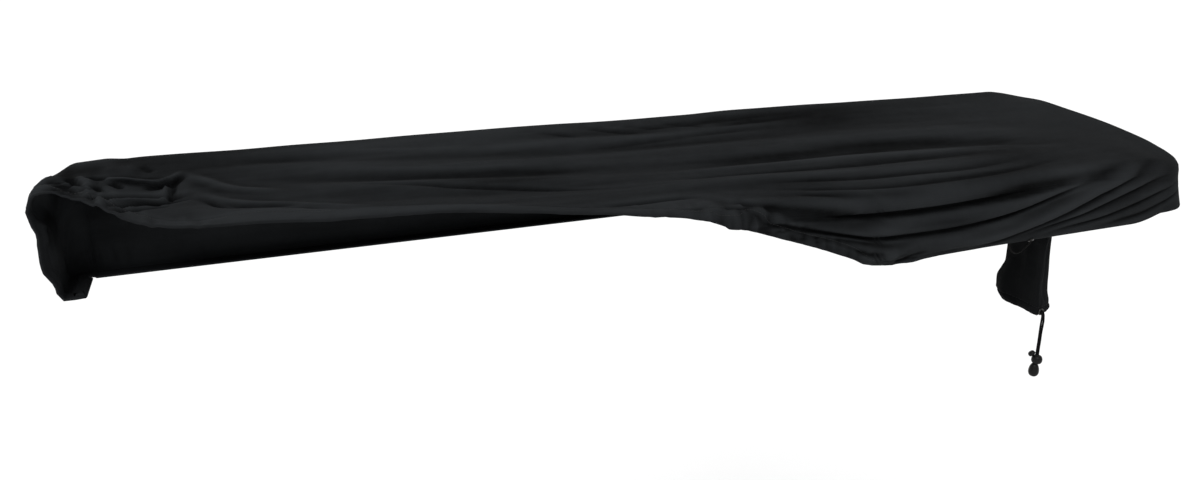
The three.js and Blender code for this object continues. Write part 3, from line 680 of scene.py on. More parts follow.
def hem_shape(u, v):
    """The turned hem: thicker to its stitch line, with puckers running into the cloth."""
    distance = hem_distance(u, v)
    swell = HEM_SWELL * (1 - smooth((distance - HEM_WIDTH + SWELL_EDGE) / SWELL_RUN))
    stitch_line = -STITCH_DEPTH * bump((distance - HEM_WIDTH) / STITCH_DIP)
    gathered = EVEN_GATHER + sum(amount * bump((u - at) / run) for at, run, amount in GATHERS)
    pucker = waves(PUCKERS, u, distance) * gathered
    return swell + stitch_line + pucker * bump((distance - PUCKER_FROM) / PUCKER_RUN)


def crumples(u, v):
    """Small sharp creases where the cloth is bunched: at the left end and along the hem."""
    distance = hem_distance(u, v)
    coarse = np.abs(waves(COARSE_CRUMPLES, u, v))
    shifted = FINE_CRUMPLES._replace(shift=CRUMPLE_SHIFT * coarse)
    fine = np.abs(waves(shifted, u, v))

    def creased(crumple):
        return crumple.coarse * coarse + crumple.fine * fine - crumple.sink

    along_hem = spot_share(GATHERED, u, distance) + spot_share(TIP, u, v)
    at_end = spot_share(BUNCHED, u, distance)
    return creased(BUNCH_CRUMPLE) * at_end + creased(HEM_CRUMPLE) * along_hem


print("gathers along the hem:", len(GATHERS))

# %% Height and lean of the folds
FOLD_STEP = 9.0
FOLD_TAPER = 1 / 3  # share of a fold's length over which it dies out
UNDER_FADE_FROM, UNDER_FADE_RUN = 0.70, 0.14


def near_line(line, u, v):
    """Distance to a line, and how far along it the nearest place is, from 0 to 1."""
    best = np.full(u.shape, np.inf)
    where = np.zeros(u.shape)
    run = run_along(line)
    for k, (u0, v0) in enumerate(line[:-1]):
        du, dv = line[k + 1] - line[k]
        length = np.hypot(du, dv)
        t = np.clip(((u - u0) * du + (v - v0) * dv) / length**2, 0, 1)
        distance = np.hypot(u - u0 - t * du, v - v0 - t * dv)
        closer = distance < best
        best = np.where(closer, distance, best)
        where = np.where(closer, (run[k] + t * length) / run[-1], where)
    return best, where


def folds_at(u, v):
    """Height of the cloth above the form and its lean to the front, in millimetres."""
    height = stretch_waves(u, v) + hem_shape(u, v) + crumples(u, v)
    lean = np.zeros(u.shape)
    for fold in [*RIGHT_FOLDS, *TOP_FOLDS, *LEFT_FOLDS]:
        line = smooth_line(fold.path, FOLD_STEP)
        reach = 2 * fold.width
        low, high = line.min(axis=0) - reach, line.max(axis=0) + reach
        near = (u > low[0]) & (u < high[0]) & (v > low[1]) & (v < high[1])
        if not near.any():
            continue
        distance, share = near_line(line, u[near], v[near])
        ends = smooth(np.minimum(share, 1 - share) / FOLD_TAPER)
        rise = fold.height * ends * bump(distance / reach) ** fold.crisp
        height[near] += rise
        lean[near] += rise * fold.lean
    beyond = np.maximum(np.abs(u) - HALF_LENGTH, np.abs(v) - HALF_DEPTH) / WALL
    fade = 1 - smooth((beyond - UNDER_FADE_FROM) / UNDER_FADE_RUN)
    return height * fade, lean * fade


def cloth_at(u, v, lift=0.0):
    """Points of the finished outer face, raised by lift, in millimetres."""
    along, out = directions(u, v)
    height, lean = folds_at(u, v)
    return place(u, v) + out * (height + lift)[..., None] - along * lean[..., None]


PINCH = np.array([[-545.0]]), np.array([[80.0]])
print("the pinch stands", round(float(folds_at(*PINCH)[0].max()), 1), "mm out")

# %% [markdown]
# ## The grid of the cloth
# The cloth is a grid with close columns where it bunches and wide ones where it is
# calm. At every column the rows are squeezed between the front edge and the back, as
# real cloth is when it is pushed back, so the edge is clean without cutting faces.

# %% Columns and rows
COLUMN_RUNS = [
    # where the run ends, number of steps
    (-728, 3), (-656, 14), (-480, 64), (-100, 68), (150, 62), (500, 62), (656, 36), (728, 12),
    (756, 3),
]
ROW_RUNS = [(-227, 4), (-130, 46), (-60, 24), (110, 36), (142, 5), (212, 6), (242, 3)]
KEPT_ROW = 110  # rows behind this one aren't squeezed


def stops(first, runs):
    """Grid lines from equal steps in each run."""
    edges = [first] + [end for end, _ in runs]
    parts = [
        np.linspace(start, end, steps, endpoint=False)
        for start, (end, steps) in zip(edges, runs)
    ]
    return np.concatenate([*parts, [edges[-1]]])


columns, rows = stops(-EDGE_U, COLUMN_RUNS), stops(-EDGE_V, ROW_RUNS)
grid_u, grid_rows = np.meshgrid(columns, rows, indexing="ij")
squeeze = (KEPT_ROW - front_edge(grid_u)) / (KEPT_ROW + EDGE_V)
grid_v = np.where(grid_rows >= KEPT_ROW, grid_rows, KEPT_ROW - (KEPT_ROW - grid_rows) * squeeze)
grid_points = cloth_at(grid_u, grid_v)
print("grid of", len(columns), "by", len(rows), "points")

# %% [markdown]
# ## The turned hem
# The raw edge is turned inside over the elastic and stitched down, so the visible
# edge is round and double. A bevel modifier can't do that. Rings of points are taken
# round the edge instead: half a circle at the fold, then back along the inside.

# %% Walk round the edge of the pattern
STRETCH_LIMITS = (0.4, 6)  # cloth at the edge for one unit of the pattern


def edge_loop(grid):
    """Values on the border of a grid, anticlockwise from the front left."""
    return np.concatenate([
        grid[:, 0], grid[-1, 1:], grid[-2::-1, -1], grid[0, -2:0:-1],
    ])


def rolling_mean(values, reach):
    """Mean over neighbours on a closed loop."""
    shifts = range(-reach, reach + 1)
    return sum(np.roll(values, shift, axis=0) for shift in shifts) / len(shifts)


loop_uv = np.stack([edge_loop(grid_u), edge_loop(grid_v)], -1)
loop_points = edge_loop(grid_points)
loop_ahead = np.roll(loop_uv, -1, axis=0) - np.roll(loop_uv, 1, axis=0)
inward = unit(rolling_mean(np.stack([-loop_ahead[:, 1], loop_ahead[:, 0]], -1), 2))
just_in = loop_uv + inward
edge_stretch = np.linalg.norm(cloth_at(*just_in.T) - loop_points, axis=1)
edge_stretch = rolling_mean(np.clip(edge_stretch, *STRETCH_LIMITS), 3)
print("edge has", len(loop_uv), "points")

# %% Rings of the turned hem
HEM_FOLD_RADIUS = 1.5
HEM_FOLD_ANGLES = (40, 90, 140)  # degrees
HEM_RETURN = (2.5, 6.0, 9.5, 12.5)  # distances back from the fold
FOLD_CLOTH = 3.0  # pattern taken up by the fold itself
JUST_INSIDE = 2.0  # gives the way out of the cloth at its edge


def from_edge(distance, lift):
    """Points at a distance in from the edge, on the surface or below it."""
    uv = loop_uv + inward * (distance / edge_stretch)[:, None]
    return uv, cloth_at(*uv.T, lift=lift)


_, loop_out = directions(*loop_uv.T)
_, inner_points = from_edge(JUST_INSIDE, 0)
beyond = rolling_mean(unit(loop_points - inner_points), 1)
rings, ring_patterns = [], []
for degrees in HEM_FOLD_ANGLES:
    angle = math.radians(degrees)
    out_by, down_by = HEM_FOLD_RADIUS * math.sin(angle), HEM_FOLD_RADIUS * (1 - math.cos(angle))
    rings.append(loop_points + beyond * out_by - loop_out * down_by)
    ring_patterns.append(loop_uv - inward * FOLD_CLOTH * degrees / 180)
for distance in HEM_RETURN:
    rings.append(from_edge(distance, -2 * HEM_FOLD_RADIUS)[1])
    ring_patterns.append(loop_uv - inward * (FOLD_CLOTH + distance))
print("hem rings:", len(rings))

# %% Build the cover
CLOTH_THICKNESS = 1.0
numbers = np.arange(grid_u.size).reshape(grid_u.shape)
cover_faces = np.stack([
    numbers[:-1, :-1], numbers[1:, :-1], numbers[1:, 1:], numbers[:-1, 1:],
], -1).reshape(-1, 4).tolist()
ring_numbers = grid_u.size + np.arange(len(rings) * len(loop_uv)).reshape(len(rings), -1)
edge_rings = [edge_loop(numbers).tolist(), *ring_numbers.tolist()]
for outer, inner in zip(edge_rings, edge_rings[1:]):
    cover_faces += [(b, a, d, c) for a, b, c, d in strip_faces(outer, inner, closed=True)]
cover_points = np.vstack([grid_points.reshape(-1, 3), *rings])
cover_pattern = np.vstack([np.stack([grid_u, grid_v], -1).reshape(-1, 2), *ring_patterns])
cover = mesh_object("stretch_cover", cover_points * MM, cover_faces, cover_pattern * MM)
thicken(cover, CLOTH_THICKNESS)
print("cover:", count_triangles(cover), "triangles")

# %% [markdown]
# ## Painted light and shade on the folds
# Black jersey is painted greyer along the crests of its folds, a painted highlight,
# and deeper in the creases, painted shade. Painting that by hand is slow. The height of
# the folds is already known, so each point compares its own height with the mean
# around it. A painted highlight runs along the hem on the bass half, and a table
# places larger soft patches of painted light and painted shade.

# %% Store painted light and shade as a colour guide
def soften(grid, reach):
    """Mean over a window of the grid, along both ways."""
    for axis in (0, 1):
        padded = np.pad(grid, [(reach, reach) if k == axis else (0, 0) for k in (0, 1)], "edge")
        shifts = range(2 * reach + 1)
        size = grid.shape[axis]
        grid = sum(np.take(padded, range(s, s + size), axis=axis) for s in shifts) / len(shifts)
    return grid


# Soft patches of painted light (amount above 0) and painted shade (amount below 0) on the cover.
PAINTED_PATCHES = [
    Spot("back edge, bass corner", -545, 112, 190, 60, -0.6),
    Spot("back edge, painted highlight", -310, 98, 150, 50, 0.6),
    Spot("back edge, beside the painted highlight", -180, 88, 130, 50, 0.25),
    Spot("back edge, middle", 80, 110, 300, 55, -0.4),
    Spot("back edge, treble", 260, 114, 240, 60, -0.8),
    Spot("top, bass half", -224, 8, 120, 50, -0.8),
    Spot("top, treble half", 210, 8, 300, 110, -0.6),
    Spot("top, treble corner", 405, -75, 150, 90, -0.65),
    Spot("front, below the top", 76, -110, 120, 45, -0.4),
    Spot("front, high fold", 322, -139, 120, 36, -0.9),
    Spot("front, low fold", 100, -151, 190, 28, -0.95),
    Spot("front, slack", 150, -196, 190, 36, -0.5),
    Spot("front, lowest fold", 255, -171, 80, 22, -0.8),
    Spot("end, low", 526, -186, 100, 36, -0.8),
    Spot("end, corner", 600, -134, 90, 60, -0.6),
    Spot("front, taut cloth", 454, -145, 60, 26, 0.6),
    Spot("end, upper", 560, -60, 120, 90, -0.25),
    Spot("hem, bass end", -480, -30, 90, 40, 0.4),
    Spot("hem, gathered", -90, -112, 130, 34, 0.6),
    Spot("bunch, deep part", -566, 34, 76, 30, -0.5),
]
PAINTED_SHADING_RANGE, PAINTED_SHADING_WINDOW = 2.5, 5  # millimetres for full effect, and grid steps
# Painted highlight along the turned hem on the bass half: amount, middle, reach to each side, and
# how far past the stitch line it fades out.
HEM_HIGHLIGHT, HEM_HIGHLIGHT_AT, HEM_HIGHLIGHT_REACH, HEM_HIGHLIGHT_FADE = 0.9, -400, 280, 12

grid_height, _ = folds_at(grid_u, grid_v)
# Painted highlight where a point stands above the mean around it, painted shade where it lies
# below.
painted_shading = (grid_height - soften(grid_height, PAINTED_SHADING_WINDOW)) / PAINTED_SHADING_RANGE
on_hem = 1 - smooth((hem_distance(grid_u, grid_v) - HEM_WIDTH) / HEM_HIGHLIGHT_FADE)
painted_shading = painted_shading + HEM_HIGHLIGHT * on_hem * bump((grid_u - HEM_HIGHLIGHT_AT) / HEM_HIGHLIGHT_REACH)
# Add the patches of painted light and painted shade, then keep the sum between -1 and 1.
painted_shading = np.clip(painted_shading + sum(spot_share(fade, grid_u, grid_v) for fade in PAINTED_PATCHES), -1, 1)
give_painted_shading(cover, np.concatenate([painted_shading.ravel(), np.zeros(ring_numbers.size)]))
print("crests from", round(float(painted_shading.min()), 2), "to", round(float(painted_shading.max()), 2))

# %% [markdown]
# ## Hem stitching
# A row of short stitches holds the hem. They could be a texture, but from close by
# thread has its own shadow, so each stitch is a small spindle laid on the cloth and
# all of them are joined into one mesh.

# %% Lay stitches along a line
STITCH_LENGTH, STITCH_GAP, THREAD = 2.3, 0.9, 0.42  # millimetres
LOOK_AHEAD = 0.4  # millimetres to each side, for the direction
SPINDLE = [
    # share of the length, share of the thickness
    (-0.5, 0.25), (-0.3, 0.85), (0.0, 1.0), (0.3, 0.85), (0.5, 0.25),
]
SPINDLE_SIDES = 6
SPINDLE_WIDTH, SPINDLE_LIFT = 0.75, 0.35  # slimmer than high, and raised off the cloth
STITCH_LIFT = 0.05


def stitches(name, line, outs):
    """Stitches along a closed line of points, in millimetres, lying on the side of outs."""
    ring, sides = np.vstack([line, line[:1]]), np.vstack([outs, outs[:1]])
    run = run_along(ring)
    count = int(run[-1] / (STITCH_LENGTH + STITCH_GAP))
    centres = (np.arange(count) + 0.5) * run[-1] / count

    def along(values, at):
        return np.stack([np.interp(at, run, values[:, k]) for k in range(3)], -1)

    middle, out = along(ring, centres), along(sides, centres)
    ahead = unit(along(ring, centres + LOOK_AHEAD) - along(ring, centres - LOOK_AHEAD))
    across = unit(np.cross(ahead, out))
    up = np.cross(across, ahead)
    points, pattern = [], []
    for share, fat in SPINDLE:
        for angle in full_turn(SPINDLE_SIDES):
            side = across * math.cos(angle) * SPINDLE_WIDTH + up * (math.sin(angle) + SPINDLE_LIFT)
            points.append(middle + ahead * share * STITCH_LENGTH + side * fat * THREAD / 2)
            pattern.append(np.stack([centres + share * STITCH_LENGTH, centres * 0 + angle], -1))
    points, pattern = np.stack(points, 1).reshape(-1, 3), np.stack(pattern, 1).reshape(-1, 2)
    spindle_rings, one = tube_faces(len(SPINDLE), SPINDLE_SIDES)
    one += [spindle_rings[0][::-1], spindle_rings[-1]]
    each = len(SPINDLE) * SPINDLE_SIDES
    faces = [tuple(n + s * each for n in face) for s in range(count) for face in one]
    return mesh_object(name, points * MM, faces, pattern * MM, closed=True)


stitch_uv, stitch_line = from_edge(HEM_WIDTH, STITCH_LIFT)
hem_stitches = stitches("hem_stitches", stitch_line, directions(*stitch_uv.T)[1])
print("hem stitching:", count_triangles(hem_stitches), "triangles")

# %% [markdown]
# ## The storage bag
# The bag hangs empty under the front hem: a flattened sack with its mouth down, drawn
# in a little by its cord. A simulated sack would fold differently each time a size
# changes, so the bag is lofted: one outline in plan, scaled at each level, with
# creases that run down it and a channel for the cord at the mouth.

# %% Levels and outline of the bag, in millimetres
BAG_LEVELS = np.array([
    # z, left side, thickness, front, back
    (-211.5, 439, 28, -123, -56),
    (-206, 438, 32, -124, -50),
    (-198, 438, 31, -124, -43),
    (-184, 438, 26.5, -122, -44),
    (-170, 438, 24, -121, -50.5),
    (-158, 438, 22, -121, -56),
    (-135, 437, 19, -122, -57),
    (-114, 436, 17, -123, -59),
    (-102.5, 437, 13, -124, -63),
])
BAG_OUTLINE = [
    # share of the thickness, share of the depth
    (0.02, 0.0), (0.45, 0.03), (0.9, 0.1), (1.0, 0.22), (0.9, 0.45), (0.82, 0.7),
    (0.62, 0.93), (0.4, 1.0), (0.18, 0.93), (0.04, 0.7), (0.07, 0.4), (0.0, 0.12),
]
BagCrease = namedtuple("BagCrease", "name at width height top bottom")
BAG_CREASES = [
    BagCrease("front face, middle", 0.10, 0.030, -1.6, -110, -196),
    BagCrease("front corner", 0.985, 0.020, 1.2, -104, -205),
    BagCrease("beside the front corner", 0.93, 0.030, -1.8, -118, -204),
    BagCrease("flat side, first", 0.87, 0.028, 1.5, -104, -180),
    BagCrease("flat side, second", 0.82, 0.030, -1.7, -130, -206),
    BagCrease("flat side, third", 0.76, 0.026, 1.4, -150, -208),
    BagCrease("hidden side, first", 0.30, 0.035, -2.2, -108, -200),
    BagCrease("hidden side, second", 0.42, 0.030, 1.6, -120, -208),
    BagCrease("hidden side, third", 0.50, 0.030, -1.6, -104, -190),
]
BAG_SIDES, BAG_ROW_RUNS = 150, [(-197.5, 70), (-211.5, 17)]
MOUTH_Z, BAG_TOP_Z = -211.5, -102.5
CHANNEL, CHANNEL_REACH = 10.0, 7.0  # height of the channel for the cord, and its swell
BAG_WAVES, BAG_WAVE_DROP, BAG_WAVE_RISE = 14, 22, 0.5  # how many round it, length, height
MOUTH_PUCKERS, PUCKER_MIDDLE, PUCKER_REACH, PUCKER_RISE = 46, 7, 20, 1.1
CHANNEL_RISE, CHANNEL_STITCH = 0.9, 0.8

bag_curves = [table_curve(BAG_LEVELS[:, 0], BAG_LEVELS[:, k]) for k in (1, 2, 3, 4)]
outline_line = smooth_line(BAG_OUTLINE + BAG_OUTLINE[:1], spacing=0.02)
outline_run = np.linspace(0, 1, len(outline_line))
print("bag creases:", len(BAG_CREASES))

# %% Loft the bag
OUTLINE_STEP = 0.012  # share of the girth, for the outline's direction


def gap_round(share, at):
    """The shorter way round the bag from at, as a share of its girth."""
    return (share - at + 0.5) % 1 - 0.5


def bag_at(share, z, inset=0.0):
    """Outer face of the bag at a share of the way round and a height, in millimetres."""
    left, thick, front, back = [curve(z) for curve in bag_curves]

    def plan(at):
        across = np.interp(at % 1, outline_run, outline_line[:, 0])
        deep = np.interp(at % 1, outline_run, outline_line[:, 1])
        return left + across * thick, front + deep * (back - front)

    x, y = plan(share)
    (x1, y1), (x0, y0) = plan(share + OUTLINE_STEP), plan(share - OUTLINE_STEP)
    length = np.maximum(np.hypot(x1 - x0, y1 - y0), 1e-6)
    out_x, out_y = (y1 - y0) / length, (x0 - x1) / length
    rise = BAG_WAVE_RISE * lattice_noise(share * BAG_WAVES, z / BAG_WAVE_DROP, 21) - inset
    for crease in BAG_CREASES:
        middle, half = (crease.top + crease.bottom) / 2, (crease.top - crease.bottom) / 2
        run = np.clip(1 - ((z - middle) / half) ** 2, 0, 1)
        across = bump(gap_round(share, crease.at) / (2 * crease.width))
        rise = rise + crease.height * across * np.sqrt(run)
    above_mouth = z - MOUTH_Z
    puckered = PUCKER_RISE * bump((above_mouth - PUCKER_MIDDLE) / PUCKER_REACH)
    rise = rise + CHANNEL_RISE * bump((above_mouth - CHANNEL / 2) / CHANNEL_REACH)
    rise = rise + puckered * lattice_noise(share * MOUTH_PUCKERS, z * 0 + 0.5, 22)
    rise = rise - CHANNEL_STITCH * bump((above_mouth - CHANNEL) / 2)
    return np.stack([x + out_x * rise, y + out_y * rise, z + x * 0], -1)


def bag_ring(z, inset, lift=0.0):
    """One ring round the bag, drawn in by inset and then raised by lift."""
    return bag_at(shares, np.full(BAG_SIDES, z), inset) + (0, 0, lift)


shares = np.arange(BAG_SIDES) / BAG_SIDES
walls = bag_at(*np.meshgrid(shares, stops(BAG_TOP_Z, BAG_ROW_RUNS)))
print("bag wall:", walls.shape[:2])

# %% Close its top and turn its mouth inside
CROWN = [(4.5, 1.1), (1.4, 0.9)]  # inset and lift of the rings that close the top
MOUTH_TURN, MOUTH_ANGLES = 1.1, (45, 90, 135, 180)
MOUTH_RETURN, RETURN_INSET = (3.0, 6.5, 9.5), 2.5
BAG_GIRTH = 170.0
BAG_THICKNESS = 0.8
# Where the painted highlight on the bag's front face lies, its reach and amount, and the painted
# shade on the rest.
FRONT_HIGHLIGHT_AT, FRONT_HIGHLIGHT_REACH, FRONT_HIGHLIGHT_AMOUNT, REST_SHADE_AMOUNT = 0.055, 0.24, 1.3, -0.15

bag_rings = [bag_ring(BAG_TOP_Z, inset, lift) for inset, lift in CROWN] + list(walls)
for degrees in MOUTH_ANGLES:
    angle = math.radians(degrees)
    inset, drop = MOUTH_TURN * (1 - math.cos(angle)), MOUTH_TURN * math.sin(angle)
    bag_rings.append(bag_ring(MOUTH_Z, inset, -drop))
bag_rings += [bag_ring(MOUTH_Z + back_up, RETURN_INSET) for back_up in MOUTH_RETURN]
bag_rings = np.stack(bag_rings)
bag_numbers, bag_quads = tube_faces(len(bag_rings), BAG_SIDES)
bag_faces = [bag_numbers[0], *(quad[::-1] for quad in bag_quads)]
ring_gaps = np.linalg.norm(np.diff(bag_rings, axis=0), axis=2).mean(axis=1)
down_run = np.concatenate([[0], np.cumsum(ring_gaps)])
bag_pattern = np.stack(np.meshgrid(shares * BAG_GIRTH, down_run), -1).reshape(-1, 2)
bag = mesh_object("drawstring_bag", bag_rings.reshape(-1, 3) * MM, bag_faces, bag_pattern * MM)
# Painted highlight on the bag's front face, and painted shade round the rest of it.
painted_front_highlight = FRONT_HIGHLIGHT_AMOUNT * bump(gap_round(shares, FRONT_HIGHLIGHT_AT) / FRONT_HIGHLIGHT_REACH)
give_painted_shading(bag, np.tile(painted_front_highlight + REST_SHADE_AMOUNT, len(bag_rings)))
thicken(bag, BAG_THICKNESS)
print("bag:", count_triangles(bag), "triangles")

# %% Stitch the channel of the bag
channel_z = np.full(BAG_SIDES, MOUTH_Z + CHANNEL)
channel_line = bag_at(shares, channel_z, inset=-0.1)
channel_out = channel_line - bag_at(shares, channel_z, inset=1.0)
bag_stitches = stitches("bag_stitches", channel_line, channel_out)
print("bag stitching:", count_triangles(bag_stitches), "triangles")

# %% [markdown]
# ## Eyelets
# A pressed eyelet is a thin metal tube whose ends are rolled over the cloth. It is a
# solid of revolution, so a profile is spun about its axis. The profile is a curve
# through a few points, which gives the soft rolled rim that a bevelled washer lacks.

# %% Spin a profile about an axis
TURNED_STEP = 0.18  # spacing along the profile
TURNED_RADIUS = 5.0  # about the radius of each piece, for the scale of its pattern
AXIS_GAP = 0.01  # the ends stop this short of the axis


def spun(name, profile, origin, axis, sides, closed=False):
    """A turned piece: profile rows are radius and height above origin, in millimetres."""
    line = smooth_line(profile, TURNED_STEP)
    if closed:
        line = line[:-1]
    up = Vector(axis).normalized()
    one = np.array(up.orthogonal().normalized())
    up = np.array(up)
    angle = full_turn(sides)
    ring = circle(angle, one, np.cross(up, one))
    radius, height = np.maximum(line[:, 0], AXIS_GAP), line[:, 1]
    points = radius[:, None, None] * ring + height[:, None, None] * up + np.array(origin)
    rings, faces = tube_faces(len(line), sides)
    if closed:
        faces += strip_faces(rings[-1], rings[0], closed=True)
    else:
        faces += [rings[0][::-1], rings[-1]]
    run = np.arange(len(line))[:, None] * TURNED_STEP
    pattern = np.stack(np.broadcast_arrays(angle * TURNED_RADIUS, run), -1).reshape(-1, 2)
    return mesh_object(name, points.reshape(-1, 3) * MM, faces, pattern * MM, closed=True)


def eyelet(name, origin, axis, hole, rim):
    """A rolled ring: its back lies at origin and it faces along axis."""
    profile = [
        (hole, 0.5), (hole + 0.12, 0.95), (hole + 0.5, 1.2), (rim - 0.75, 1.02),
        (rim - 0.2, 0.62), (rim, 0.25), (rim - 0.3, 0.02), (hole + 0.7, 0.0), (hole + 0.1, 0.08),
        (hole, 0.5),
    ]
    return spun(name, profile, origin, axis, sides=56, closed=True)


EYELET_SWING = 0.1  # the bag's ring looks this much past the front, in radians
bag_eyelet = eyelet(
    "bag_mouth_eyelet", origin=(443.2, -125, -207),
    axis=(math.sin(EYELET_SWING), -math.cos(EYELET_SWING), 0), hole=3.0, rim=4.6,
)
hem_eyelet = eyelet(
    "hem_ring_eyelet", origin=(388.6, -140.3, -99.3), axis=(0, -1, -1), hole=1.5, rim=3.5,
)
print("eyelets:", count_triangles(bag_eyelet) + count_triangles(hem_eyelet), "triangles")

# %% [markdown]
# ## Cord lock and cord end
# The lock is a small moulded barrel with a spring button at its side: press it and the
# cords run free. Below it a bell hides the knotted ends. All three are turned forms
# with fine extra steps, such as the parting line and the grip rings, that catch light.

# %% Lock, button and bell
LOCK_X, LOCK_Y, LOCK_TOP = 451.5, -124.2, -270.0
LOCK_PROFILE = [
    (0, -11), (2.4, -11), (3.7, -10.9), (5.2, -10.1), (6.2, -8.6), (6.65, -6.9), (6.7, -6.1),
    (6.55, -5.85), (6.55, -5.5), (6.7, -5.25), (6.6, -4.2), (6.0, -2.1), (5.0, -0.7),
    (3.8, -0.05), (2.2, 0), (0, -0.15),
]
BUTTON_PROFILE = [
    (0, 0), (2.1, 0), (2.2, 0.3), (3.8, 0.7), (4.35, 1.3), (4.5, 3.0), (4.2, 4.3), (3.4, 5.3),
    (2.1, 5.95), (1.0, 5.95), (0, 5.8),
]
BELL_PROFILE = [
    (0, -18), (1.7, -17.95), (3.5, -17.4), (5.1, -16.0), (6.2, -13.4), (6.5, -11.0), (6.25, -10.2),
    (6.45, -9.6), (6.4, -8.6), (6.05, -7.9), (6.15, -7.3), (5.8, -5.8), (4.9, -3.0), (3.7, -1.0),
    (2.3, 0), (0, 0),
]
BUTTON_TILT, BUTTON_SWING = 0.78, 0.685  # up from level, and past the back, in radians
BUTTON_PLACE = (LOCK_X - 3.2, LOCK_Y + 3.9, LOCK_TOP - 0.5)
BELL_PLACE = (LOCK_X - 1.3, LOCK_Y + 0.9, LOCK_TOP - 11.4)
UPRIGHT = (0, 0, 1)

button_axis = (
    -math.cos(BUTTON_TILT) * math.sin(BUTTON_SWING),
    math.cos(BUTTON_TILT) * math.cos(BUTTON_SWING),
    math.sin(BUTTON_TILT),
)
lock_body = spun("lock_barrel", LOCK_PROFILE, (LOCK_X, LOCK_Y, LOCK_TOP), UPRIGHT, sides=64)
lock_button = spun("lock_plunger", BUTTON_PROFILE, BUTTON_PLACE, button_axis, sides=48)
cord_bell = spun("cord_bell", BELL_PROFILE, BELL_PLACE, UPRIGHT, sides=64)
print("lock pieces:", sum(map(count_triangles, (lock_body, lock_button, cord_bell))), "triangles")

# %% [markdown]
# ## Materials: how they are written
# Every finish is a Principled shader whose colour, roughness and bump come from
# procedural nodes. Node trees read badly as long lists of links, so one helper gives a
# node its inputs, and links whatever is a socket.

# %% Node helpers
def put(tree, node, inputs):
    """Give a node its inputs by name or number: a socket is linked, a plain value is set."""
    for key, value in dict(inputs).items():
        if isinstance(value, bpy.types.NodeSocket):
            tree.links.new(value, node.inputs[key])
        else:
            node.inputs[key].default_value = value


def add(tree, kind, inputs=(), **settings):
    """A new node with its settings and inputs."""
    node = tree.nodes.new(kind)
    for key, value in settings.items():
        setattr(node, key, value)
    put(tree, node, inputs)
    return node


def calculate(tree, operation, *values):
    """A Math node's result."""
    return add(tree, "ShaderNodeMath", enumerate(values), operation=operation).outputs[0]


def between(tree, share, low, high):
    """A value from low to high as share goes from 0 to 1."""
    inputs = {"Value": share, "To Min": low, "To Max": high}
    return add(tree, "ShaderNodeMapRange", inputs).outputs["Result"]


def blend_colours(tree, share, first, second):
    """First colour at 0, second at 1."""
    inputs = {0: share, 6: first, 7: second}
    return add(tree, "ShaderNodeMix", inputs, data_type="RGBA").outputs[2]


def cloudy(tree, place_on, scale=1.0, detail=3.0):
    """Noise from about 0 to 1 with hills of 1/scale metres."""
    inputs = {"Vector": place_on, "Scale": scale, "Detail": detail}
    return add(tree, "ShaderNodeTexNoise", inputs).outputs["Fac"]


def stretched(tree, place_on, scales):
    """Coordinates scaled differently along each axis."""
    return add(tree, "ShaderNodeMapping", {"Vector": place_on, "Scale": scales}).outputs[0]


def bumpy(tree, height, strength, distance, below=None):
    """A surface raised by height, over a coarser one below; distance is in metres."""
    inputs = {"Height": height, "Strength": strength, "Distance": distance}
    if below is not None:
        inputs["Normal"] = below
    return add(tree, "ShaderNodeBump", inputs).outputs[0]


def grey(value, warm=0.0):
    """A grey that leans to red, or to blue where warm is negative."""
    return (value * (1 + warm), value, value * (1 - warm), 1)


def start_material(name):
    """A new material: its tree, its shader, and coordinates in metres on and in the piece."""
    material = bpy.data.materials.new(name)
    material.use_nodes = True
    tree = material.node_tree
    shader = tree.nodes["Principled BSDF"]
    on_cloth = add(tree, "ShaderNodeUVMap", uv_map="pattern").outputs[0]
    in_space = add(tree, "ShaderNodeTexCoord").outputs["Object"]
    return material, tree, shader, on_cloth, in_space


print("node helpers ready")

# %% [markdown]
# ## Jersey
# Jersey shows columns of small V-shaped loops. They are drawn from the pattern
# coordinates: a triangle wave across each column tilts the rows into Vs. The colour
# is a soft black that wanders a little, with stretch lines along the keyboard, a
# painted highlight on crests and painted shade in creases and between the loops.
# A rough sheen stands for the fuzz of spun polyester.

# %% Knit loops
VALLEY = 0.4  # how high the loops stand between two columns


def knit_height(tree, on_cloth, wale, course):
    """Height of the loops, from 0 to 1; wale and course are loop sizes in metres."""
    parts = add(tree, "ShaderNodeSeparateXYZ", {0: on_cloth})
    across = calculate(tree, "DIVIDE", parts.outputs[0], wale)
    down = calculate(tree, "DIVIDE", parts.outputs[1], course)
    tilt = calculate(tree, "PINGPONG", across, 0.5)
    row = calculate(tree, "FRACT", calculate(tree, "ADD", down, tilt))
    loop = calculate(tree, "SINE", calculate(tree, "MULTIPLY", row, math.pi))
    column = calculate(tree, "SINE", calculate(tree, "MULTIPLY", tilt, 2 * math.pi))
    column = calculate(tree, "ABSOLUTE", column)
    column = calculate(tree, "MULTIPLY_ADD", column, 1 - VALLEY, VALLEY)
    return calculate(tree, "MULTIPLY", loop, column)


TINT = -0.08  # the black leans a little to blue
DARKEST, PALEST = 0.2, 2.3  # times the cloth's own black
BASE_SHADE = 0.03
LINT_FROM, LINT_SHARE, LINT_GREY = 0.83, 0.25, 0.04


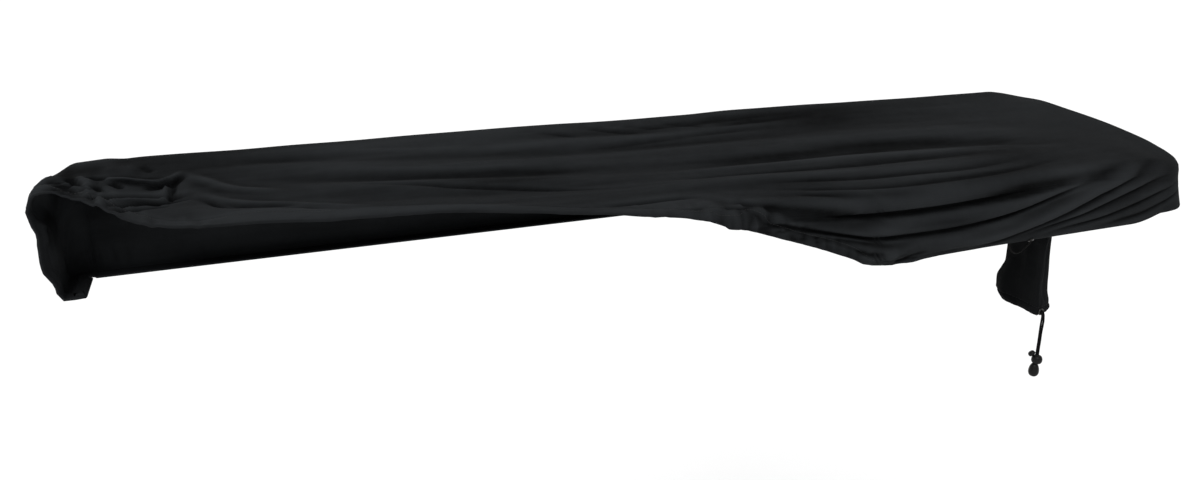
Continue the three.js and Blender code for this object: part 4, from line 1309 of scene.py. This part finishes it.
def jersey(name, wale, course, black):
    """Soft black knitted cloth."""
    material, tree, shader, on_cloth, in_space = start_material(name)
    knit = knit_height(tree, on_cloth, wale, course)
    patches = cloudy(tree, in_space, scale=9.0)
    mottle = cloudy(tree, in_space, scale=75.0, detail=4.0)
    lines = cloudy(tree, stretched(tree, on_cloth, (7.0, 95.0, 1.0)), detail=2.0)
    lint = cloudy(tree, on_cloth, scale=2600.0, detail=1.0)
    painted_shading = add(tree, "ShaderNodeAttribute", attribute_name="painted_shading").outputs["Fac"]
    # The stored attribute adds painted highlight on crests and painted shade in creases and in soft
    # patches; the knit adds a little painted shade between its loops.
    shade = BASE_SHADE
    for part, weight in (
        (patches, 0.30), (mottle, 0.22), (lines, 0.40), (painted_shading, 0.45), (knit, 0.12),
    ):
        shade = calculate(tree, "MULTIPLY_ADD", part, weight, shade)
    colour = blend_colours(tree, shade, grey(black * DARKEST, TINT), grey(black * PALEST, TINT))
    speck = calculate(tree, "GREATER_THAN", lint, LINT_FROM)
    speck = calculate(tree, "MULTIPLY", speck, LINT_SHARE)
    wrinkles = cloudy(tree, stretched(tree, on_cloth, (30.0, 260.0, 1.0)))
    wrinkled = bumpy(tree, wrinkles, strength=0.35, distance=0.0008)
    put(tree, shader, {
        "Base Color": blend_colours(tree, speck, colour, grey(LINT_GREY)),
        "Roughness": between(tree, lines, low=0.74, high=0.92),
        "Sheen Weight": 0.008,
        "Sheen Roughness": 0.45,
        "Sheen Tint": (0.75, 0.78, 0.8, 1),
        "Specular IOR Level": 0.03,
        "Normal": bumpy(tree, knit, strength=0.5, distance=0.00018, below=wrinkled),
    })
    return material


cover_jersey = jersey("cover_jersey", wale=0.00095, course=0.00085, black=0.0086)
bag_jersey = jersey("bag_jersey", wale=0.00080, course=0.00072, black=0.0027)
print("jersey:", len(cover_jersey.node_tree.nodes), "nodes")

# %% [markdown]
# ## Thread, braid, metal and plastic
# The small pieces are black too, so they must differ by gloss: matte thread, a braid
# with a faint shine on its raised strands, a nickel ring with rubbed scratches, and
# moulded plastic with a fine grain and paler worn edges.

# %% Sewing thread and braided elastic
TWIST = 9000.0  # how fast the twist runs along a thread
YARN = 0.00035  # width of a yarn of the braid, in metres


def twisted_thread(name, black):
    """Fine twist across the thread."""
    material, tree, shader, on_cloth, _ = start_material(name)
    parts = add(tree, "ShaderNodeSeparateXYZ", {0: on_cloth})
    turn = calculate(tree, "MULTIPLY_ADD", parts.outputs[0], TWIST, parts.outputs[1])
    twist = calculate(tree, "SINE", turn)
    # Painted shade: the colour follows the twist, paler on its ridges and darker in its grooves.
    share = between(tree, twist, low=0.0, high=1.0)
    put(tree, shader, {
        "Base Color": blend_colours(tree, share, grey(black), grey(black * 1.7)),
        "Roughness": 0.62,
        "Normal": bumpy(tree, twist, strength=0.4, distance=0.00005),
    })
    return material


def braided_sleeve(name, black):
    """Fine yarns across each raised strand, with soft patches of dust."""
    material, tree, shader, on_cloth, in_space = start_material(name)
    parts = add(tree, "ShaderNodeSeparateXYZ", {0: on_cloth})
    yarn = calculate(tree, "MULTIPLY", parts.outputs[0], 2 * math.pi / YARN)
    yarns = calculate(tree, "SINE", calculate(tree, "MULTIPLY_ADD", parts.outputs[1], TWIST, yarn))
    dust = cloudy(tree, in_space, scale=420.0)
    put(tree, shader, {
        "Base Color": blend_colours(tree, dust, grey(black * 0.6), grey(black * 1.6, 0.03)),
        "Roughness": between(tree, dust, low=0.48, high=0.7),
        "Specular IOR Level": 0.05,
        "Normal": bumpy(tree, yarns, strength=0.45, distance=0.00006),
    })
    return material


thread = twisted_thread("sewing_thread", black=0.008)
braid = braided_sleeve("braided_elastic", black=0.003)
print("thread and braid ready")

# %% Nickel and moulded plastic
DARK_NICKEL, PALE_NICKEL = (0.022, 0.0215, 0.0205, 1), (0.055, 0.054, 0.051, 1)


def rubbed_nickel(name):
    """Plated metal with fine scratches and a duller bloom."""
    material, tree, shader, on_cloth, in_space = start_material(name)
    bloom = cloudy(tree, in_space, scale=600.0)
    scratches = cloudy(tree, stretched(tree, on_cloth, (900.0, 12000.0, 1.0)), detail=2.0)
    put(tree, shader, {
        "Base Color": blend_colours(tree, bloom, DARK_NICKEL, PALE_NICKEL),
        "Metallic": 1.0,
        "Roughness": between(tree, bloom, low=0.22, high=0.42),
        "Normal": bumpy(tree, scratches, strength=0.25, distance=0.00003),
    })
    return material


def moulded_plastic(name, black):
    """Matte moulded plastic: fine grain, and edges rubbed a little paler."""
    material, tree, shader, _, in_space = start_material(name)
    edge = add(tree, "ShaderNodeNewGeometry").outputs["Pointiness"]
    worn = add(tree, "ShaderNodeMapRange", {"Value": edge, "From Min": 0.5, "From Max": 0.6})
    marks = cloudy(tree, in_space, scale=350.0)
    grain = cloudy(tree, in_space, scale=5200.0, detail=1.0)
    rub = calculate(tree, "MULTIPLY", worn.outputs[0], marks)
    put(tree, shader, {
        "Base Color": blend_colours(tree, rub, grey(black), grey(black * 4)),
        "Specular IOR Level": 0.14,
        "Roughness": between(tree, marks, low=0.36, high=0.52),
        "Normal": bumpy(tree, grain, strength=0.3, distance=0.00004),
    })
    return material


nickel = rubbed_nickel("rubbed_nickel")
plastic = moulded_plastic("moulded_plastic", black=0.0032)
print("nickel and plastic ready")

# %% [markdown]
# ## Dressing the pieces
# Each piece gets its finish, rides on the one body of the part, and hides the plain
# solids it stands for.

# %% Finish every piece
def dress(piece, material, slot, *solids):
    """Finish a piece, fix it to the part and let it stand for its solids."""
    piece.data.materials.append(material)
    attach(piece, "root")
    if solids:
        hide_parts(*solids)


dress(cover, cover_jersey, "cover_fabric", "cover_cloth")
dress(hem_stitches, thread, "cover_fabric")
dress(bag, bag_jersey, "bag_fabric", "storage_bag")
dress(bag_stitches, thread, "bag_fabric")
dress(cords["braided_cord_left"], braid, "elastic_cord", "bag_cord_left")
dress(cords["braided_cord_right"], braid, "elastic_cord", "bag_cord_right")
dress(cords["hem_pull_loop"], braid, "elastic_cord", "hem_cord_loop")
dress(bag_eyelet, nickel, "eyelet_metal", "bag_eyelet")
dress(hem_eyelet, nickel, "eyelet_metal", "hem_eyelet")
dress(lock_body, plastic, "lock_plastic", "cord_lock_body")
dress(lock_button, plastic, "lock_plastic", "cord_lock_button")
dress(cord_bell, plastic, "lock_plastic", "cord_end")

# %% All pieces dressed
print("pieces dressed")

# %% [markdown]
# ## Studio
# Black cloth is hard to light: even light leaves it flat, and a small lamp makes it
# shiny. A white room gives the pale surroundings, and one sun as wide as a bank of
# windows, above and over the left shoulder, draws the folds without a hard edge. The
# floor lies far below, so that no shadow of the cover shows on it.

# %% Floor, room and lamps
FLOOR_Z, FLOOR_HALF = -1.30, 60.0
FLOOR_PAINT = (0.93, 0.93, 0.93, 1)
ROOM_LIGHT = 0.62

corners = [(-1, -1), (1, -1), (1, 1), (-1, 1)]
floor_points = [(x * FLOOR_HALF, y * FLOOR_HALF, FLOOR_Z) for x, y in corners]
floor = mesh_object("studio_floor", floor_points, [(0, 1, 2, 3)], np.array(corners) * FLOOR_HALF)
floor_material, floor_tree, floor_shader, _, _ = start_material("pale_floor")
put(floor_tree, floor_shader, {"Base Color": FLOOR_PAINT, "Roughness": 0.9})
floor.data.materials.append(floor_material)
floor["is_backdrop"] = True

world = bpy.data.worlds.new("white_room")
world.use_nodes = True
world.node_tree.nodes["Background"].inputs["Color"].default_value = (1, 1, 1, 1)
world.node_tree.nodes["Background"].inputs["Strength"].default_value = ROOM_LIGHT
bpy.context.scene.world = world
bpy.context.scene.view_settings.view_transform = "Standard"


def soft_sun(name, from_point, strength, spread):
    """Even light from a wide patch of sky; spread is its width in degrees."""
    data = bpy.data.lights.new(name, "SUN")
    data.energy = strength
    data.angle = math.radians(spread)
    lamp = bpy.data.objects.new(name, data)
    lamp.rotation_euler = Vector(from_point).to_track_quat("Z", "Y").to_euler()
    bpy.context.scene.collection.objects.link(lamp)


soft_sun("sky_panel", (-0.45, -0.6, 1.0), strength=2.15, spread=40)
print("studio ready")

# %% [markdown]
# ## Size of the dressed part
# The dressed cover may stand a little proud of the plain solids. The two boxes are
# printed side by side, so that a change of size is noticed at once.

# %% Print the sizes
low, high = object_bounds()
boxes = {
    "cad": [list(CAD_LOW), list(CAD_HIGH)],
    "visual": [list(low), list(high)],
}
for name, (lowest, highest) in boxes.items():
    size = [round((b - a) * 1000) for a, b in zip(lowest, highest)]
    print(name, "box:", size, "mm")
